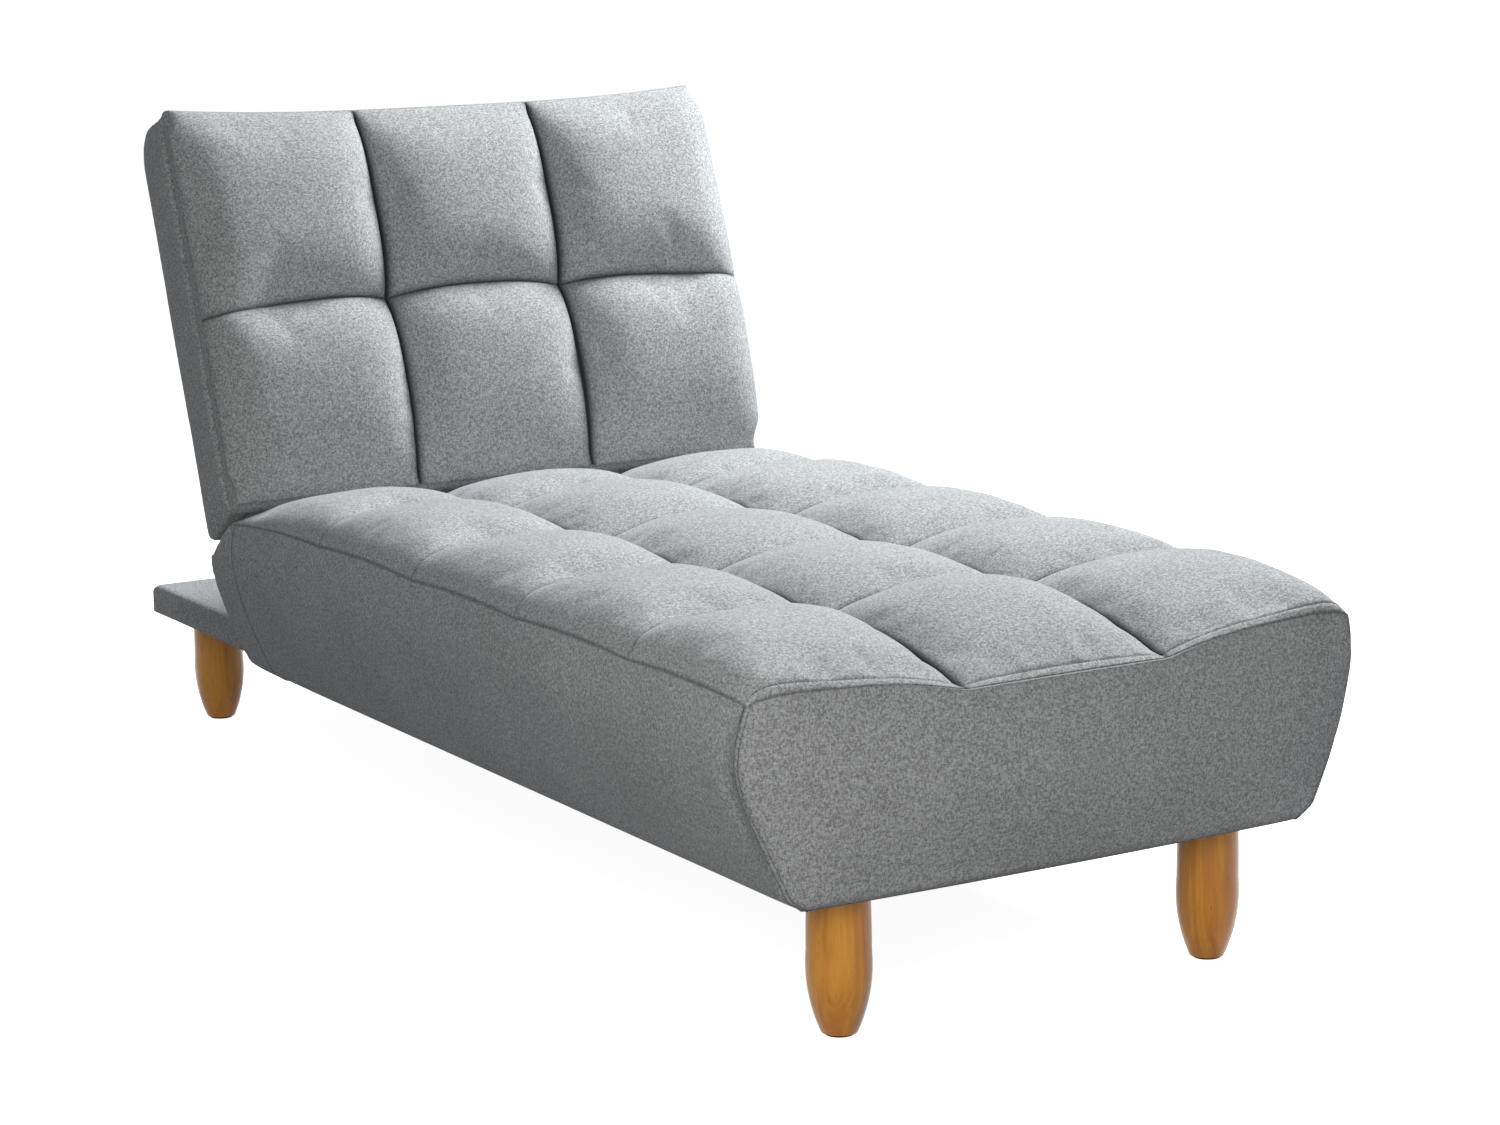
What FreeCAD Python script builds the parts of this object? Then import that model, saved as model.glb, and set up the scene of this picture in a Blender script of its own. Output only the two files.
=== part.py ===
# Recamier: a tufted chaise longue with a ratchet backrest, made of separate pieces.
# Millimetres. +Z is up, +Y runs from the foot end to the backrest, +X is on the right of a person
# who stands at the foot end and looks along +Y. The origin is on the floor under the middle.
import FreeCAD, Part
import math
import os

Vector = FreeCAD.Vector

# Clearances
soft_gap = 0.3          # between upholstered pieces and their neighbours
bore_gap = 0.05         # radial, round pins, bolts and screws
side_play = 0.4         # between moving steel plates
overshoot = 40.0        # how far a cutting body reaches past what it cuts

# Seat box, outside. Insets are from the side seam, drops are from the side seam's height
seat_body_length = 1206.0     # foot seam to rear face
seam_width = 700.0            # over the side seams of the seat and of the backrest
seat_seam_height = 346.0
foot_bulge = 25.0
seat_underside = 142.0
heel_height = 13.0
seat_base_inset = 58.0
seat_heel_inset = 40.0
seat_bulge_swell = 7.0
seat_bulge_drop = 48.0
seat_side_curve = 1.5         # power of the flank's curve from the bulge down to the heel
rear_seam_drop = 12.0
rear_shoulder_drop = 49.0     # from the rear seam down to where the rear face begins to slope
rear_shoulder_length = 56.0
rear_shoulder_swell = 3.0
seat_heel_setback = 8.0
foot_edge_bulge = 6.0
foot_panel_thickness = 24.0
side_panel_base = 24.0
side_panel_top = 24.0
rear_panel_thickness = 25.7
rear_roll_depth = 72.0

# Tufted seat pad
tuft_columns = 3
seat_tuft_rows = 5
tuft_bow = 30.0               # how far the cross seams bow to the rear at the middle
seat_pad_drop = 21.0          # flat underside, below the side seam
seat_crossing_lift = 8.0      # where long and cross seams meet, above the side seam
seat_cross_seam_lift = 28.0
seat_pillow_rise = 14.0
seat_valley_rise = 11.0
seat_edge_rise = 4.0
foot_seam_drop = 8.0
foot_dip_drop = 17.0
foot_corner_drop = 4.0
foot_pillow_rise = 24.0
foot_valley_rise = 16.0
rear_pillow_rise = 20.0
rear_dip_drop = 15.0

# Seat frame
frame_lift = 1.5              # above the seat's underside
filling_depth = 63.0          # room for springs, felt and foam between the rails and the pad
rail_thickness = 22.0
plain_cross_rails = 2
rear_rail_drop = 27.0         # rear and cross rails, below the side rails' top
corner_block_length = 82.0
corner_block_width = 76.0
corner_block_height = 46.0
hinge_block_thickness = 28.0
hinge_block_drop = 7.0
dust_cover_thickness = 1.2

# Springs and filling
spring_count = 7
spring_bends = 30
spring_wire = 3.6
spring_run = 26.0
spring_first = 90.0           # from the foot rail to the first spring
spring_last = 110.0           # from the last spring to the rear roll
clip_width = 16.0
clip_length = 18.0
clip_height = 7.0
felt_thickness = 4.0

# Platform behind the seat
platform_reach = 425.0
platform_inset = 90.5
platform_height = 36.5
platform_drop = 5.1           # below the seat's underside
platform_round = 10.0
platform_wall = 3.0
platform_rail_width = 95.0
platform_rail_thickness = 18.0
platform_rear_rail_width = 60.0
platform_deck_thickness = 5.0
tongue_length = 253.0         # how far the platform rails run on under the seat

# Legs
front_leg_inset = 132.0
front_leg_y = 56.0            # behind the foot seam
rear_leg_inset = 155.5
rear_leg_y = 56.0             # ahead of the platform's end
leg_plate_thickness = 2.5
leg_top_radius = 30.0
leg_belly_radius = 31.0
leg_belly_height = 82.0
leg_shoulder_radius = 30.8
leg_shin_radius = 27.4
leg_shin_height = 32.0
leg_foot_radius = 17.5
glide_thickness = 2.5
glide_radius = 14.0
leg_plate_side = 60.0
leg_plate_play = 1.0
leg_bolt_radius = 4.0
leg_bolt_depth = 38.0
front_bolt_reach = 36.0
rear_bolt_reach = 17.0

# Backrest, in its own upright frame: X across, Y to the rear of the seam plane, Z up the slope
back_recline = 19.56
back_setback = 19.0           # seam plane ahead of the seat's rear seam
back_rise = 38.0              # and above it
back_bottom = -12.0
back_bottom_rear = -42.0
back_top = 450.0
back_depth = 102.0
back_top_round = 42.0
back_bottom_round = 20.0
back_side_bulge = 6.0
back_side_inset = 26.0
back_side_thickness = 24.0
back_rear_thickness = 14.0
back_pad_depth = 22.0
back_foam_depth = 29.7
back_cross_seam = 209.0
back_crossing_height = 8.0
back_cross_seam_height = 22.0
back_pillow_rise = 26.0
back_valley_rise = 12.0
back_edge_rise = 3.0
back_bow = 14.0
web_straps = 5
web_width = 50.0
web_thickness = 2.0
back_frame_bottom = -20.0
back_frame_depth = 33.1
stile_width = 28.0
back_rail_height = 60.0

# Ratchet hinges
pivot_ahead = 31.0            # hinge axis ahead of the seat's rear face
pivot_rise = 10.0             # and above the hinge blocks
hinge_inset = 122.0           # outer face of the hinge block
hinge_plate_thickness = 3.0
hinge_plate_length = 128.0
hinge_leaf_share = 0.535      # of the hinge block's height
hinge_hub_radius = 20.0
hinge_neck_drop = 22.0
ratchet_thickness = 4.0
ratchet_radius = 24.0
arm_thickness = 4.0
arm_width = 25.0
arm_hub_radius = 17.0
arm_reach = 130.0             # up the slope from the seam origin
pin_radius = 6.0
pin_head_radius = 10.0
pin_head_thickness = 3.0
flat_angle = 90.0 - back_recline
release_angle = 4.0           # forward of the upright notch
notch_angles = (24.0, 47.0, flat_angle)
notch_depth = 5.4
notch_side_play = 1.8
pawl_length = 32.0
pawl_lift = 0.4
pawl_tooth_half = 3.5
pawl_tooth_reach = 11.6
pawl_bar_height = 8.0
pawl_eye_radius = 7.0
pawl_pin_radius = 3.0
pawl_pin_head_radius = 5.5
pawl_pin_head_thickness = 2.0
ear_half = 9.0
screw_radius = 2.5
screw_head_radius = 4.5
screw_head_thickness = 2.2
screw_length = 22.0
screw_inset = 14.0
arm_screws = 3

# Places worked out from the sizes
total_length = foot_bulge + seat_body_length + platform_reach
y_foot = foot_bulge - total_length / 2
y_rear = y_foot + seat_body_length
y_end = y_rear + platform_reach
y_rear_seam = y_rear - rear_shoulder_length
y_roll = y_rear - rear_roll_depth
y_frame_front = y_foot + foot_panel_thickness + soft_gap
y_frame_inside = y_frame_front + rail_thickness
y_frame_rear = y_rear - rear_panel_thickness - soft_gap
y_tongue = y_rear - tongue_length
seam_half = seam_width / 2
seat_pad_base = seat_seam_height - seat_pad_drop
pad_floor = seat_pad_base - soft_gap
rear_seam_height = seat_seam_height - rear_seam_drop
rear_shoulder_height = rear_seam_height - rear_shoulder_drop
seat_bulge_height = seat_seam_height - seat_bulge_drop
heel_level = seat_underside + heel_height
mid_level = (seat_underside + seat_seam_height) / 2
frame_bottom = seat_underside + frame_lift
rail_top = seat_pad_base - filling_depth
rear_rail_top = rail_top - rear_rail_drop
hinge_block_top = rail_top - hinge_block_drop
tongue_top = frame_bottom + platform_rail_thickness
platform_half = seam_half - platform_inset
platform_underside = seat_underside - platform_drop
platform_top = platform_underside + platform_height
leg_top = frame_bottom - leg_plate_thickness
back_inner_half = seam_half - back_side_thickness - soft_gap
pivot_y = y_rear - pivot_ahead
hinge_leaf_height = (hinge_block_top - tongue_top) * hinge_leaf_share
pivot_height = hinge_block_top + pivot_rise
hinge_x = seam_half - hinge_inset
deck_top = tongue_top + platform_deck_thickness
plate_face = hinge_x + hinge_plate_thickness
ratchet_face = plate_face + ratchet_thickness
arm_face = ratchet_face + side_play
post_face = arm_face + arm_thickness
frame_front = back_pad_depth + back_foam_depth + web_thickness + 3 * soft_gap
frame_rear = frame_front + back_frame_depth
back_frame_top = back_top - back_top_round


def segment(start, end):
    return Part.LineSegment(start, end).toShape()


def polygon_face(points):
    """A flat face through the points."""
    return Part.Face(Part.makePolygon(points + points[:1]))


def along(points, start, end):
    """A bar along Y with the given outline of (x, z) points."""
    face = polygon_face([Vector(x, start, z) for x, z in points])
    return face.extrude(Vector(0, end - start, 0))


def box(x0, x1, y0, y1, z0, z1):
    return Part.makeBox(x1 - x0, y1 - y0, z1 - z0, Vector(x0, y0, z0))


def rod_x(radius, x0, x1, y, z):
    return Part.makeCylinder(radius, x1 - x0, Vector(x0, y, z), Vector(1, 0, 0))


def rod_z(radius, x, y, z0, z1):
    return Part.makeCylinder(radius, z1 - z0, Vector(x, y, z0), Vector(0, 0, 1))


def joined(shapes):
    """One solid from shapes that share faces or overlap."""
    whole = shapes[0].fuse(shapes[1:]) if len(shapes) > 1 else shapes[0]
    return whole.removeSplitter()


def group(shapes):
    """Separate solids that share one node."""
    solids = [solid for shape in shapes for solid in shape.Solids]
    return Part.makeCompound(solids)


def mirrored(shape):
    """The same piece on the other side of the middle."""
    return shape.mirror(Vector(0, 0, 0), Vector(1, 0, 0))


def pad_cut(x, stations, rises, base, place):
    """A cut through a tufted pad: flat underside, and one arc over each pillow."""
    first = place(x, stations[0][0], base)
    last = place(x, stations[-1][0], base)
    edges = [segment(first, place(x, *stations[0]))]
    for low, high, rise in zip(stations, stations[1:], rises):
        top = place(x, (low[0] + high[0]) / 2, (low[1] + high[1]) / 2 + rise)
        edges.append(Part.Arc(place(x, *low), top, place(x, *high)).toShape())
    edges.append(segment(place(x, *stations[-1]), last))
    edges.append(segment(last, first))
    return Part.Wire(edges)


def tufted_pad(width, cut_at):
    """Columns of pillows, each lofted from seam to seam over its crown."""
    column = width / tuft_columns
    columns = []
    for number in range(tuft_columns):
        left = -width / 2 + number * column
        stations = (left, left + column / 2, left + column)
        columns.append(Part.makeLoft([cut_at(x, width) for x in stations], True, False))
    return joined(columns)


def kind_of_cut(x, width):
    """Where x lies on a pad: its outer edge, a long seam or the middle of a column."""
    column = width / tuft_columns
    if abs(abs(x) - width / 2) < column / 4:
        return "edge"
    offset = (x + width / 2) / column
    return "seam" if abs(offset - round(offset)) < 0.25 else "crown"


def seat_place(x, y, lift):
    return Vector(x, y, seat_seam_height + lift)


def back_place(x, up, forward):
    return Vector(x, -forward, up)


def seat_pad_cut(x, width):
    """The seat pad's cut at x, from the foot seam over five pillows to the rear seam."""
    kind = kind_of_cut(x, width)
    ends = {
        "edge": (-foot_corner_drop, -rear_seam_drop),
        "seam": (-foot_dip_drop, -rear_dip_drop),
        "crown": (-foot_seam_drop, -rear_seam_drop),
    }[kind]
    lift = {"edge": 0.0, "seam": seat_crossing_lift, "crown": seat_cross_seam_lift}[kind]
    rise, foot_rise, rear_rise = {
        "edge": (seat_edge_rise, seat_edge_rise, seat_edge_rise),
        "seam": (seat_valley_rise, foot_valley_rise, seat_valley_rise),
        "crown": (seat_pillow_rise, foot_pillow_rise, rear_pillow_rise),
    }[kind]
    pitch = (y_rear_seam - y_foot) / seat_tuft_rows
    bow = tuft_bow * (0.5 - (2 * x / width) ** 2)
    seams = [(y_foot + row * pitch + bow, lift) for row in range(1, seat_tuft_rows)]
    stations = [(y_foot, ends[0])] + seams + [(y_rear_seam, ends[1])]
    rises = [foot_rise] + [rise] * (seat_tuft_rows - 2) + [rear_rise]
    return pad_cut(x, stations, rises, -seat_pad_drop, seat_place)


def seat_pad():
    return tufted_pad(seam_width, seat_pad_cut)


def back_pad_cut(x, width):
    """The back pad's cut at x, from the bottom seam over two pillows to the top seam."""
    kind = kind_of_cut(x, width)
    height = {"edge": 0.0, "seam": back_crossing_height, "crown": back_cross_seam_height}[kind]
    rise = {"edge": back_edge_rise, "seam": back_valley_rise, "crown": back_pillow_rise}[kind]
    bow = back_bow * (0.5 - (2 * x / width) ** 2)
    stations = [(back_bottom, 0.0), (back_cross_seam + bow, height), (back_top, 0.0)]
    return pad_cut(x, stations, [rise, rise], -back_pad_depth, back_place)


def back_pad():
    return tufted_pad(seam_width, back_pad_cut)


def half_width(z):
    """Half the seat's outside width at a height: rounded heel, sloping side, drawn-in seam."""
    base = seam_half - seat_base_inset
    heel = seam_half - seat_heel_inset
    bulge = seam_half + seat_bulge_swell
    if z <= heel_level:
        return base + (heel - base) * (z - seat_underside) / heel_height
    if z <= seat_bulge_height:
        share = (seat_bulge_height - z) / (seat_bulge_height - heel_level)
        return bulge - (bulge - heel) * share ** seat_side_curve
    share = (z - seat_bulge_height) / (seat_seam_height - seat_bulge_height)
    return bulge - seat_bulge_swell * share ** 2


def foot_crown(z):
    """How far the foot panel stands out of its seam plane at a height, on the middle line."""
    share = (z - seat_underside) / (seat_seam_height - seat_underside)
    return foot_edge_bulge + (foot_bulge - foot_edge_bulge) * math.sin(math.pi * share)


def inner_half(z):
    """Half the width between the side panels' flat inner faces at a height."""
    low = half_width(seat_underside) - side_panel_base
    high = half_width(seat_pad_base) - side_panel_top
    share = (z - seat_underside) / (seat_pad_base - seat_underside)
    return low + (high - low) * share


def levels_loft(wire_at):
    """A body through level outlines, with a straight heel and a smooth wall above it."""
    wall = [heel_level, (heel_level + mid_level) / 2, mid_level, seat_bulge_height, seat_seam_height]
    heel = Part.makeLoft([wire_at(seat_underside), wire_at(heel_level)], True, True)
    body = Part.makeLoft([wire_at(level) for level in wall], True, False)
    return heel.fuse(body).removeSplitter()


def seat_outline(z):
    half = half_width(z)
    crown = Part.Arc(
        Vector(half, y_foot, z), Vector(0, y_foot - foot_crown(z), z), Vector(-half, y_foot, z)
    )
    left = segment(Vector(-half, y_foot, z), Vector(-half, y_rear, z))
    rear = segment(Vector(-half, y_rear, z), Vector(half, y_rear, z))
    right = segment(Vector(half, y_rear, z), Vector(half, y_foot, z))
    return Part.Wire([crown.toShape(), left, rear, right])


def rear_profile():
    """Everything ahead of the seat's rear outline, which slopes forward to the rear seam."""
    reach = seat_body_length + overshoot
    low = seat_underside - overshoot
    high = seat_seam_height + overshoot
    start = Vector(-reach, y_rear, rear_shoulder_height)
    end = Vector(-reach, y_rear_seam, rear_seam_height)
    outward = (end - start).cross(Vector(1, 0, 0)).normalize()
    middle = (start + end) * 0.5 - outward * rear_shoulder_swell
    outline = [
        end,
        Vector(-reach, y_rear_seam, high),
        Vector(-reach, y_foot - reach, high),
        Vector(-reach, y_foot - reach, low),
        Vector(-reach, y_rear - seat_heel_setback, low),
        Vector(-reach, y_rear - seat_heel_setback, seat_underside),
        Vector(-reach, y_rear, heel_level),
        start,
    ]
    edges = [segment(a, b) for a, b in zip(outline, outline[1:])]
    edges.append(Part.Arc(start, middle, end).toShape())
    return Part.Face(Part.Wire(edges)).extrude(Vector(2 * reach, 0, 0))


def seat_skin():
    """The seat's whole outside form, from which its panels are cut."""
    return levels_loft(seat_outline).common(rear_profile())


def mitre_outline(z):
    half = half_width(z)
    far = half + overshoot
    near = half - foot_panel_thickness
    points = [
        Vector(-far, y_foot - overshoot, z),
        Vector(far, y_foot - overshoot, z),
        Vector(near, y_foot + foot_panel_thickness, z),
        Vector(-near, y_foot + foot_panel_thickness, z),
    ]
    return Part.makePolygon(points + points[:1])


def below_pad():
    reach = seat_body_length
    return box(-reach, reach, -reach, reach, 0, pad_floor)


def seat_front_panel(skin, mitre):
    return skin.common(mitre.common(below_pad()))


def seat_side_panel(skin, mitre):
    low = seat_underside - overshoot
    far = seam_width
    outline = [
        (inner_half(low), low),
        (inner_half(pad_floor), pad_floor),
        (far, pad_floor),
        (far, low),
    ]
    flank = along(outline, y_foot - overshoot, y_roll - soft_gap)
    ahead = mitre.translated(Vector(0, soft_gap, 0))
    return skin.common(flank).cut(ahead)


def trapezoid(z0, z1, inset):
    """The outline of a board that spans the seat's sloping sides."""
    wide = inner_half(z1) - inset
    narrow = inner_half(z0) - inset
    return [(-narrow, z0), (narrow, z0), (wide, z1), (-wide, z1)]


def hinge_slots(x0, x1, y0, y1, z0, z1):
    right = box(x0, x1, y0, y1, z0, z1)
    return [right, mirrored(right)]


def seat_rear_panel(skin):
    """The rear roll: a thick soft boot round the frame's end, slotted for the hinge arms."""
    reach = seat_body_length
    low = box(-reach, reach, y_roll, y_rear + overshoot, 0, pad_floor)
    high = box(-reach, reach, y_rear_seam + soft_gap, y_rear + overshoot, 0, seat_seam_height)
    roll = skin.common(low.fuse(high))
    pocket_top = rail_top + soft_gap
    pocket = along(trapezoid(frame_bottom - overshoot, pocket_top, 0), y_roll - overshoot,
                   y_frame_rear + soft_gap)
    tongue = box(-platform_half, platform_half, y_frame_rear, y_rear + overshoot, 0,
                 tongue_top + soft_gap)
    slots = hinge_slots(
        hinge_x - pin_head_thickness - side_play,
        post_face + pin_head_thickness + side_play,
        y_roll - overshoot,
        y_rear + overshoot,
        rear_rail_top,
        seat_seam_height + overshoot,
    )
    return roll.cut([pocket, tongue] + slots)


def seat_side_rail():
    """A sloping board just inside the right side panel."""
    outer = [inner_half(z) - soft_gap for z in (frame_bottom, rail_top)]
    inner = [x - rail_thickness for x in outer]
    outline = [
        (inner[0], frame_bottom),
        (outer[0], frame_bottom),
        (outer[1], rail_top),
        (inner[1], rail_top),
    ]
    return along(outline, y_frame_inside, y_frame_rear)


def cross_board(y0, z0, z1):
    """A board between the side rails."""
    return along(trapezoid(z0, z1, soft_gap + rail_thickness), y0, y0 + rail_thickness)


def seat_front_rail():
    return along(trapezoid(frame_bottom, rail_top, soft_gap), y_frame_front, y_frame_inside)


def seat_rear_rail():
    return cross_board(y_frame_rear - rail_thickness, tongue_top, rear_rail_top)


def seat_cross_rails():
    step = (y_tongue - y_frame_inside) / (plain_cross_rails + 1)
    rails = [
        cross_board(y_frame_inside + step * (number + 1), frame_bottom, rear_rail_top)
        for number in range(plain_cross_rails)
    ]
    rails.append(cross_board(y_tongue, tongue_top, rear_rail_top))
    return group(rails)


def leg_places(x, y):
    return [(-x, y), (x, y)]


def front_leg_places():
    return leg_places(seam_half - front_leg_inset, y_foot + front_leg_y)


def rear_leg_places():
    return leg_places(seam_half - rear_leg_inset, y_end - rear_leg_y)


def bolt_bores(places, top):
    return [rod_z(leg_bolt_radius + bore_gap, x, y, 0, top) for x, y in places]


def seat_corner_blocks():
    """Blocks in the foot end's corners, bored for the leg bolts."""
    top = frame_bottom + corner_block_height
    inset = soft_gap + rail_thickness
    low = inner_half(frame_bottom) - inset
    high = inner_half(top) - inset
    inner = low - corner_block_width
    outline = [(inner, frame_bottom), (low, frame_bottom), (high, top), (inner, top)]
    right = along(outline, y_frame_inside, y_frame_inside + corner_block_length)
    bores = bolt_bores(front_leg_places(), frame_bottom + front_bolt_reach + bore_gap)
    return group([block.cut(bores) for block in (mirrored(right), right)])


def hinge_leaf_rear():
    """The leaf stops at the rear rail's front face."""
    return y_frame_rear - rail_thickness


def hinge_screw_places():
    """The four screws of a hinge plate, as (y, z)."""
    rear = hinge_leaf_rear() - screw_inset
    front = hinge_leaf_rear() - hinge_plate_length + screw_inset
    quarter = hinge_leaf_height / 4
    levels = (hinge_block_top - 3 * quarter, hinge_block_top - quarter)
    return [(y, z) for y in (front, rear) for z in levels]


def seat_hinge_blocks():
    """Wooden blocks between the tongue's cross rail and the rear rail, which carry the hinges."""
    front = y_tongue + rail_thickness
    rear = y_frame_rear - rail_thickness
    right = box(hinge_x - hinge_block_thickness, hinge_x, front, rear, tongue_top, hinge_block_top)
    bores = [
        rod_x(screw_radius + bore_gap, hinge_x - screw_length, hinge_x, y, z)
        for y, z in hinge_screw_places()
    ]
    right = right.cut(bores)
    return group([mirrored(right), right])


def spring_half_span():
    return inner_half(rail_top) - soft_gap - rail_thickness / 2


def spring_rows():
    first = y_frame_inside + spring_first
    last = y_roll - spring_last
    step = (last - first) / (spring_count - 1)
    return [first + step * number for number in range(spring_count)]


def spring_level():
    return rail_top + spring_wire / 2 + soft_gap


def sinuous_spring(y, z):
    """A flat wire spring across the seat: straight runs joined by half turns."""
    half = spring_half_span()
    pitch = 2 * half / spring_bends
    edges = []
    side = 1
    for number in range(spring_bends + 1):
        x = -half + number * pitch
        low = Vector(x, y - side * spring_run / 2, z)
        high = Vector(x, y + side * spring_run / 2, z)
        edges.append(segment(low, high))
        if number < spring_bends:
            crest = Vector(x + pitch / 2, y + side * (spring_run + pitch) / 2, z)
            landing = Vector(x + pitch, y + side * spring_run / 2, z)
            edges.append(Part.Arc(high, crest, landing).toShape())
        side = -side
    path = Part.Wire(edges)
    start = Vector(-half, y - spring_run / 2, z)
    ring = Part.Wire(Part.makeCircle(spring_wire / 2, start, Vector(0, 1, 0)))
    return path.makePipeShell([ring], True, False)


def seat_springs():
    first = spring_rows()[0]
    spring = sinuous_spring(first, spring_level())
    return group([spring.translated(Vector(0, y - first, 0)) for y in spring_rows()])


def spring_clips():
    """Clips on the side rails that hold each spring's end run."""
    half = spring_half_span()
    clips = []
    for y in spring_rows():
        clip = box(half - clip_width / 2, half + clip_width / 2, y - clip_length / 2,
                   y + clip_length / 2, rail_top, rail_top + clip_height)
        bore = Part.makeCylinder(
            spring_wire / 2 + bore_gap, clip_length, Vector(half, y - clip_length / 2, spring_level()),
            Vector(0, 1, 0)
        )
        clip = clip.cut(bore)
        clips += [mirrored(clip), clip]
    return group(clips)


def felt_level():
    return rail_top + clip_height + soft_gap


def seat_felt():
    z0 = felt_level()
    return along(trapezoid(z0, z0 + felt_thickness, soft_gap), y_frame_front, y_roll - soft_gap)


def seat_foam():
    z0 = felt_level() + felt_thickness + soft_gap
    return along(trapezoid(z0, pad_floor, soft_gap), y_frame_front, y_roll - soft_gap)


def plate_openings(places):
    """Square holes round the leg plates in a cover."""
    half = leg_plate_side / 2 + leg_plate_play
    low = platform_underside - overshoot
    return [box(x - half, x + half, y - half, y + half, low, frame_bottom) for x, y in places]


def seat_dust_cover():
    """Black cloth under the frame."""
    half = inner_half(seat_underside) - soft_gap
    sheet = box(-half, half, y_frame_front, y_frame_rear, seat_underside,
                seat_underside + dust_cover_thickness)
    return sheet.cut(plate_openings(front_leg_places()))


def platform_inner_half():
    return platform_half - platform_wall - soft_gap


def platform_end():
    return y_end - platform_wall - soft_gap


def platform_side_rail():
    """The right rail, which runs on as a narrower tongue under the seat's rear rail."""
    outer = platform_inner_half()
    inner = outer - platform_rail_width
    tongue_outer = inner_half(frame_bottom) - rail_thickness - 2 * soft_gap
    rail = box(inner, outer, y_rear + soft_gap, platform_end(), frame_bottom, tongue_top)
    tongue = box(inner, tongue_outer, y_tongue, y_rear + soft_gap, frame_bottom, tongue_top)
    return joined([rail, tongue]).cut(bolt_bores(rear_leg_places(), tongue_top + overshoot))


def platform_rear_rail():
    half = platform_inner_half() - platform_rail_width
    rear = platform_end()
    return box(-half, half, rear - platform_rear_rail_width, rear, frame_bottom, tongue_top)


def platform_deck():
    half = platform_inner_half()
    return box(-half, half, y_rear + soft_gap, platform_end(), tongue_top, deck_top)


def platform_cover():
    """A padded sleeve over the platform, closed at the rear and open to the seat."""
    front = y_rear + soft_gap
    outside = box(-platform_half, platform_half, front, y_end, platform_underside, platform_top)
    rounded = [
        edge
        for edge in outside.Edges
        if edge.BoundBox.ZMin > platform_top - platform_round
        and edge.BoundBox.YMax > front + platform_round
    ]
    outside = outside.makeFillet(platform_round, rounded)
    inner = platform_half - platform_wall
    hollow = box(-inner, inner, front - overshoot, y_end - platform_wall,
                 frame_bottom - soft_gap, deck_top + soft_gap)
    return outside.cut([hollow] + plate_openings(rear_leg_places()))


def leg_blank():
    """A turned leg on the Z axis: straight above, drawn in below to a small flat foot."""
    base = Vector(leg_foot_radius, 0, glide_thickness)
    shin = Vector(leg_shin_radius, 0, leg_shin_height)
    belly = Vector(leg_belly_radius, 0, leg_belly_height)
    shoulder = Vector(leg_shoulder_radius, 0, (leg_belly_height + leg_top) / 2)
    top = Vector(leg_top_radius, 0, leg_top)
    low_centre = Vector(0, 0, glide_thickness)
    high_centre = Vector(0, 0, leg_top)
    edges = [
        segment(low_centre, base),
        Part.Arc(base, shin, belly).toShape(),
        Part.Arc(belly, shoulder, top).toShape(),
        segment(top, high_centre),
        segment(high_centre, low_centre),
    ]
    blank = Part.Face(Part.Wire(edges)).revolve(Vector(0, 0, 0), Vector(0, 0, 1), 360)
    return blank.cut(rod_z(leg_bolt_radius + bore_gap, 0, 0, leg_top - leg_bolt_depth, leg_top))


def leg_plates():
    half = leg_plate_side / 2
    places = front_leg_places() + rear_leg_places()
    bores = bolt_bores(places, frame_bottom + overshoot)
    plates = [box(x - half, x + half, y - half, y + half, leg_top, frame_bottom) for x, y in places]
    return group([plate.cut(bores) for plate in plates])


def leg_bolts():
    low = leg_top - leg_bolt_depth
    bolts = [rod_z(leg_bolt_radius, x, y, low, frame_bottom + front_bolt_reach)
             for x, y in front_leg_places()]
    bolts += [rod_z(leg_bolt_radius, x, y, low, frame_bottom + rear_bolt_reach)
              for x, y in rear_leg_places()]
    return group(bolts)


def leg_glides():
    places = front_leg_places() + rear_leg_places()
    return group([rod_z(glide_radius, x, y, 0, glide_thickness) for x, y in places])


def hinge_plate():
    """The right hinge's fixed plate: a leaf on its block and a neck out to the pivot."""
    rear = hinge_leaf_rear()
    leaf = box(hinge_x, plate_face, rear - hinge_plate_length, rear,
               hinge_block_top - hinge_leaf_height, hinge_block_top)
    neck = box(hinge_x, plate_face, rear - hinge_hub_radius, pivot_y,
               pivot_height - hinge_neck_drop, pivot_height - soft_gap)
    hub = rod_x(hinge_hub_radius, hinge_x, plate_face, pivot_y, pivot_height)
    bores = [rod_x(pin_radius + bore_gap, hinge_x, plate_face, pivot_y, pivot_height)]
    bores += [rod_x(screw_radius + bore_gap, hinge_x, plate_face, y, z)
              for y, z in hinge_screw_places()]
    return joined([leaf, neck, hub]).cut(bores)


def hinge_screws():
    screws = []
    for y, z in hinge_screw_places():
        shank = rod_x(screw_radius, hinge_x - screw_length, plate_face, y, z)
        head = rod_x(screw_head_radius, plate_face, plate_face + screw_head_thickness, y, z)
        screw = joined([shank, head])
        screws += [mirrored(screw), screw]
    return group(screws)


def seam_origin():
    """Where the backrest's own frame has its origin."""
    return Vector(0, y_rear_seam - back_setback, rear_seam_height + back_rise)


def pivot_in_back():
    """The hinge axis in the backrest's own frame, as (y, z)."""
    origin = seam_origin()
    dy = pivot_y - origin.y
    dz = pivot_height - origin.z
    angle = math.radians(back_recline)
    return (
        dy * math.cos(angle) - dz * math.sin(angle),
        dy * math.sin(angle) + dz * math.cos(angle),
    )


def reclined(shape):
    """A piece of the upright backrest, put in its place on the seat."""
    turned = shape.copy()
    turned.rotate(Vector(0, 0, 0), Vector(1, 0, 0), -back_recline)
    turned.translate(seam_origin())
    return turned


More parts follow.
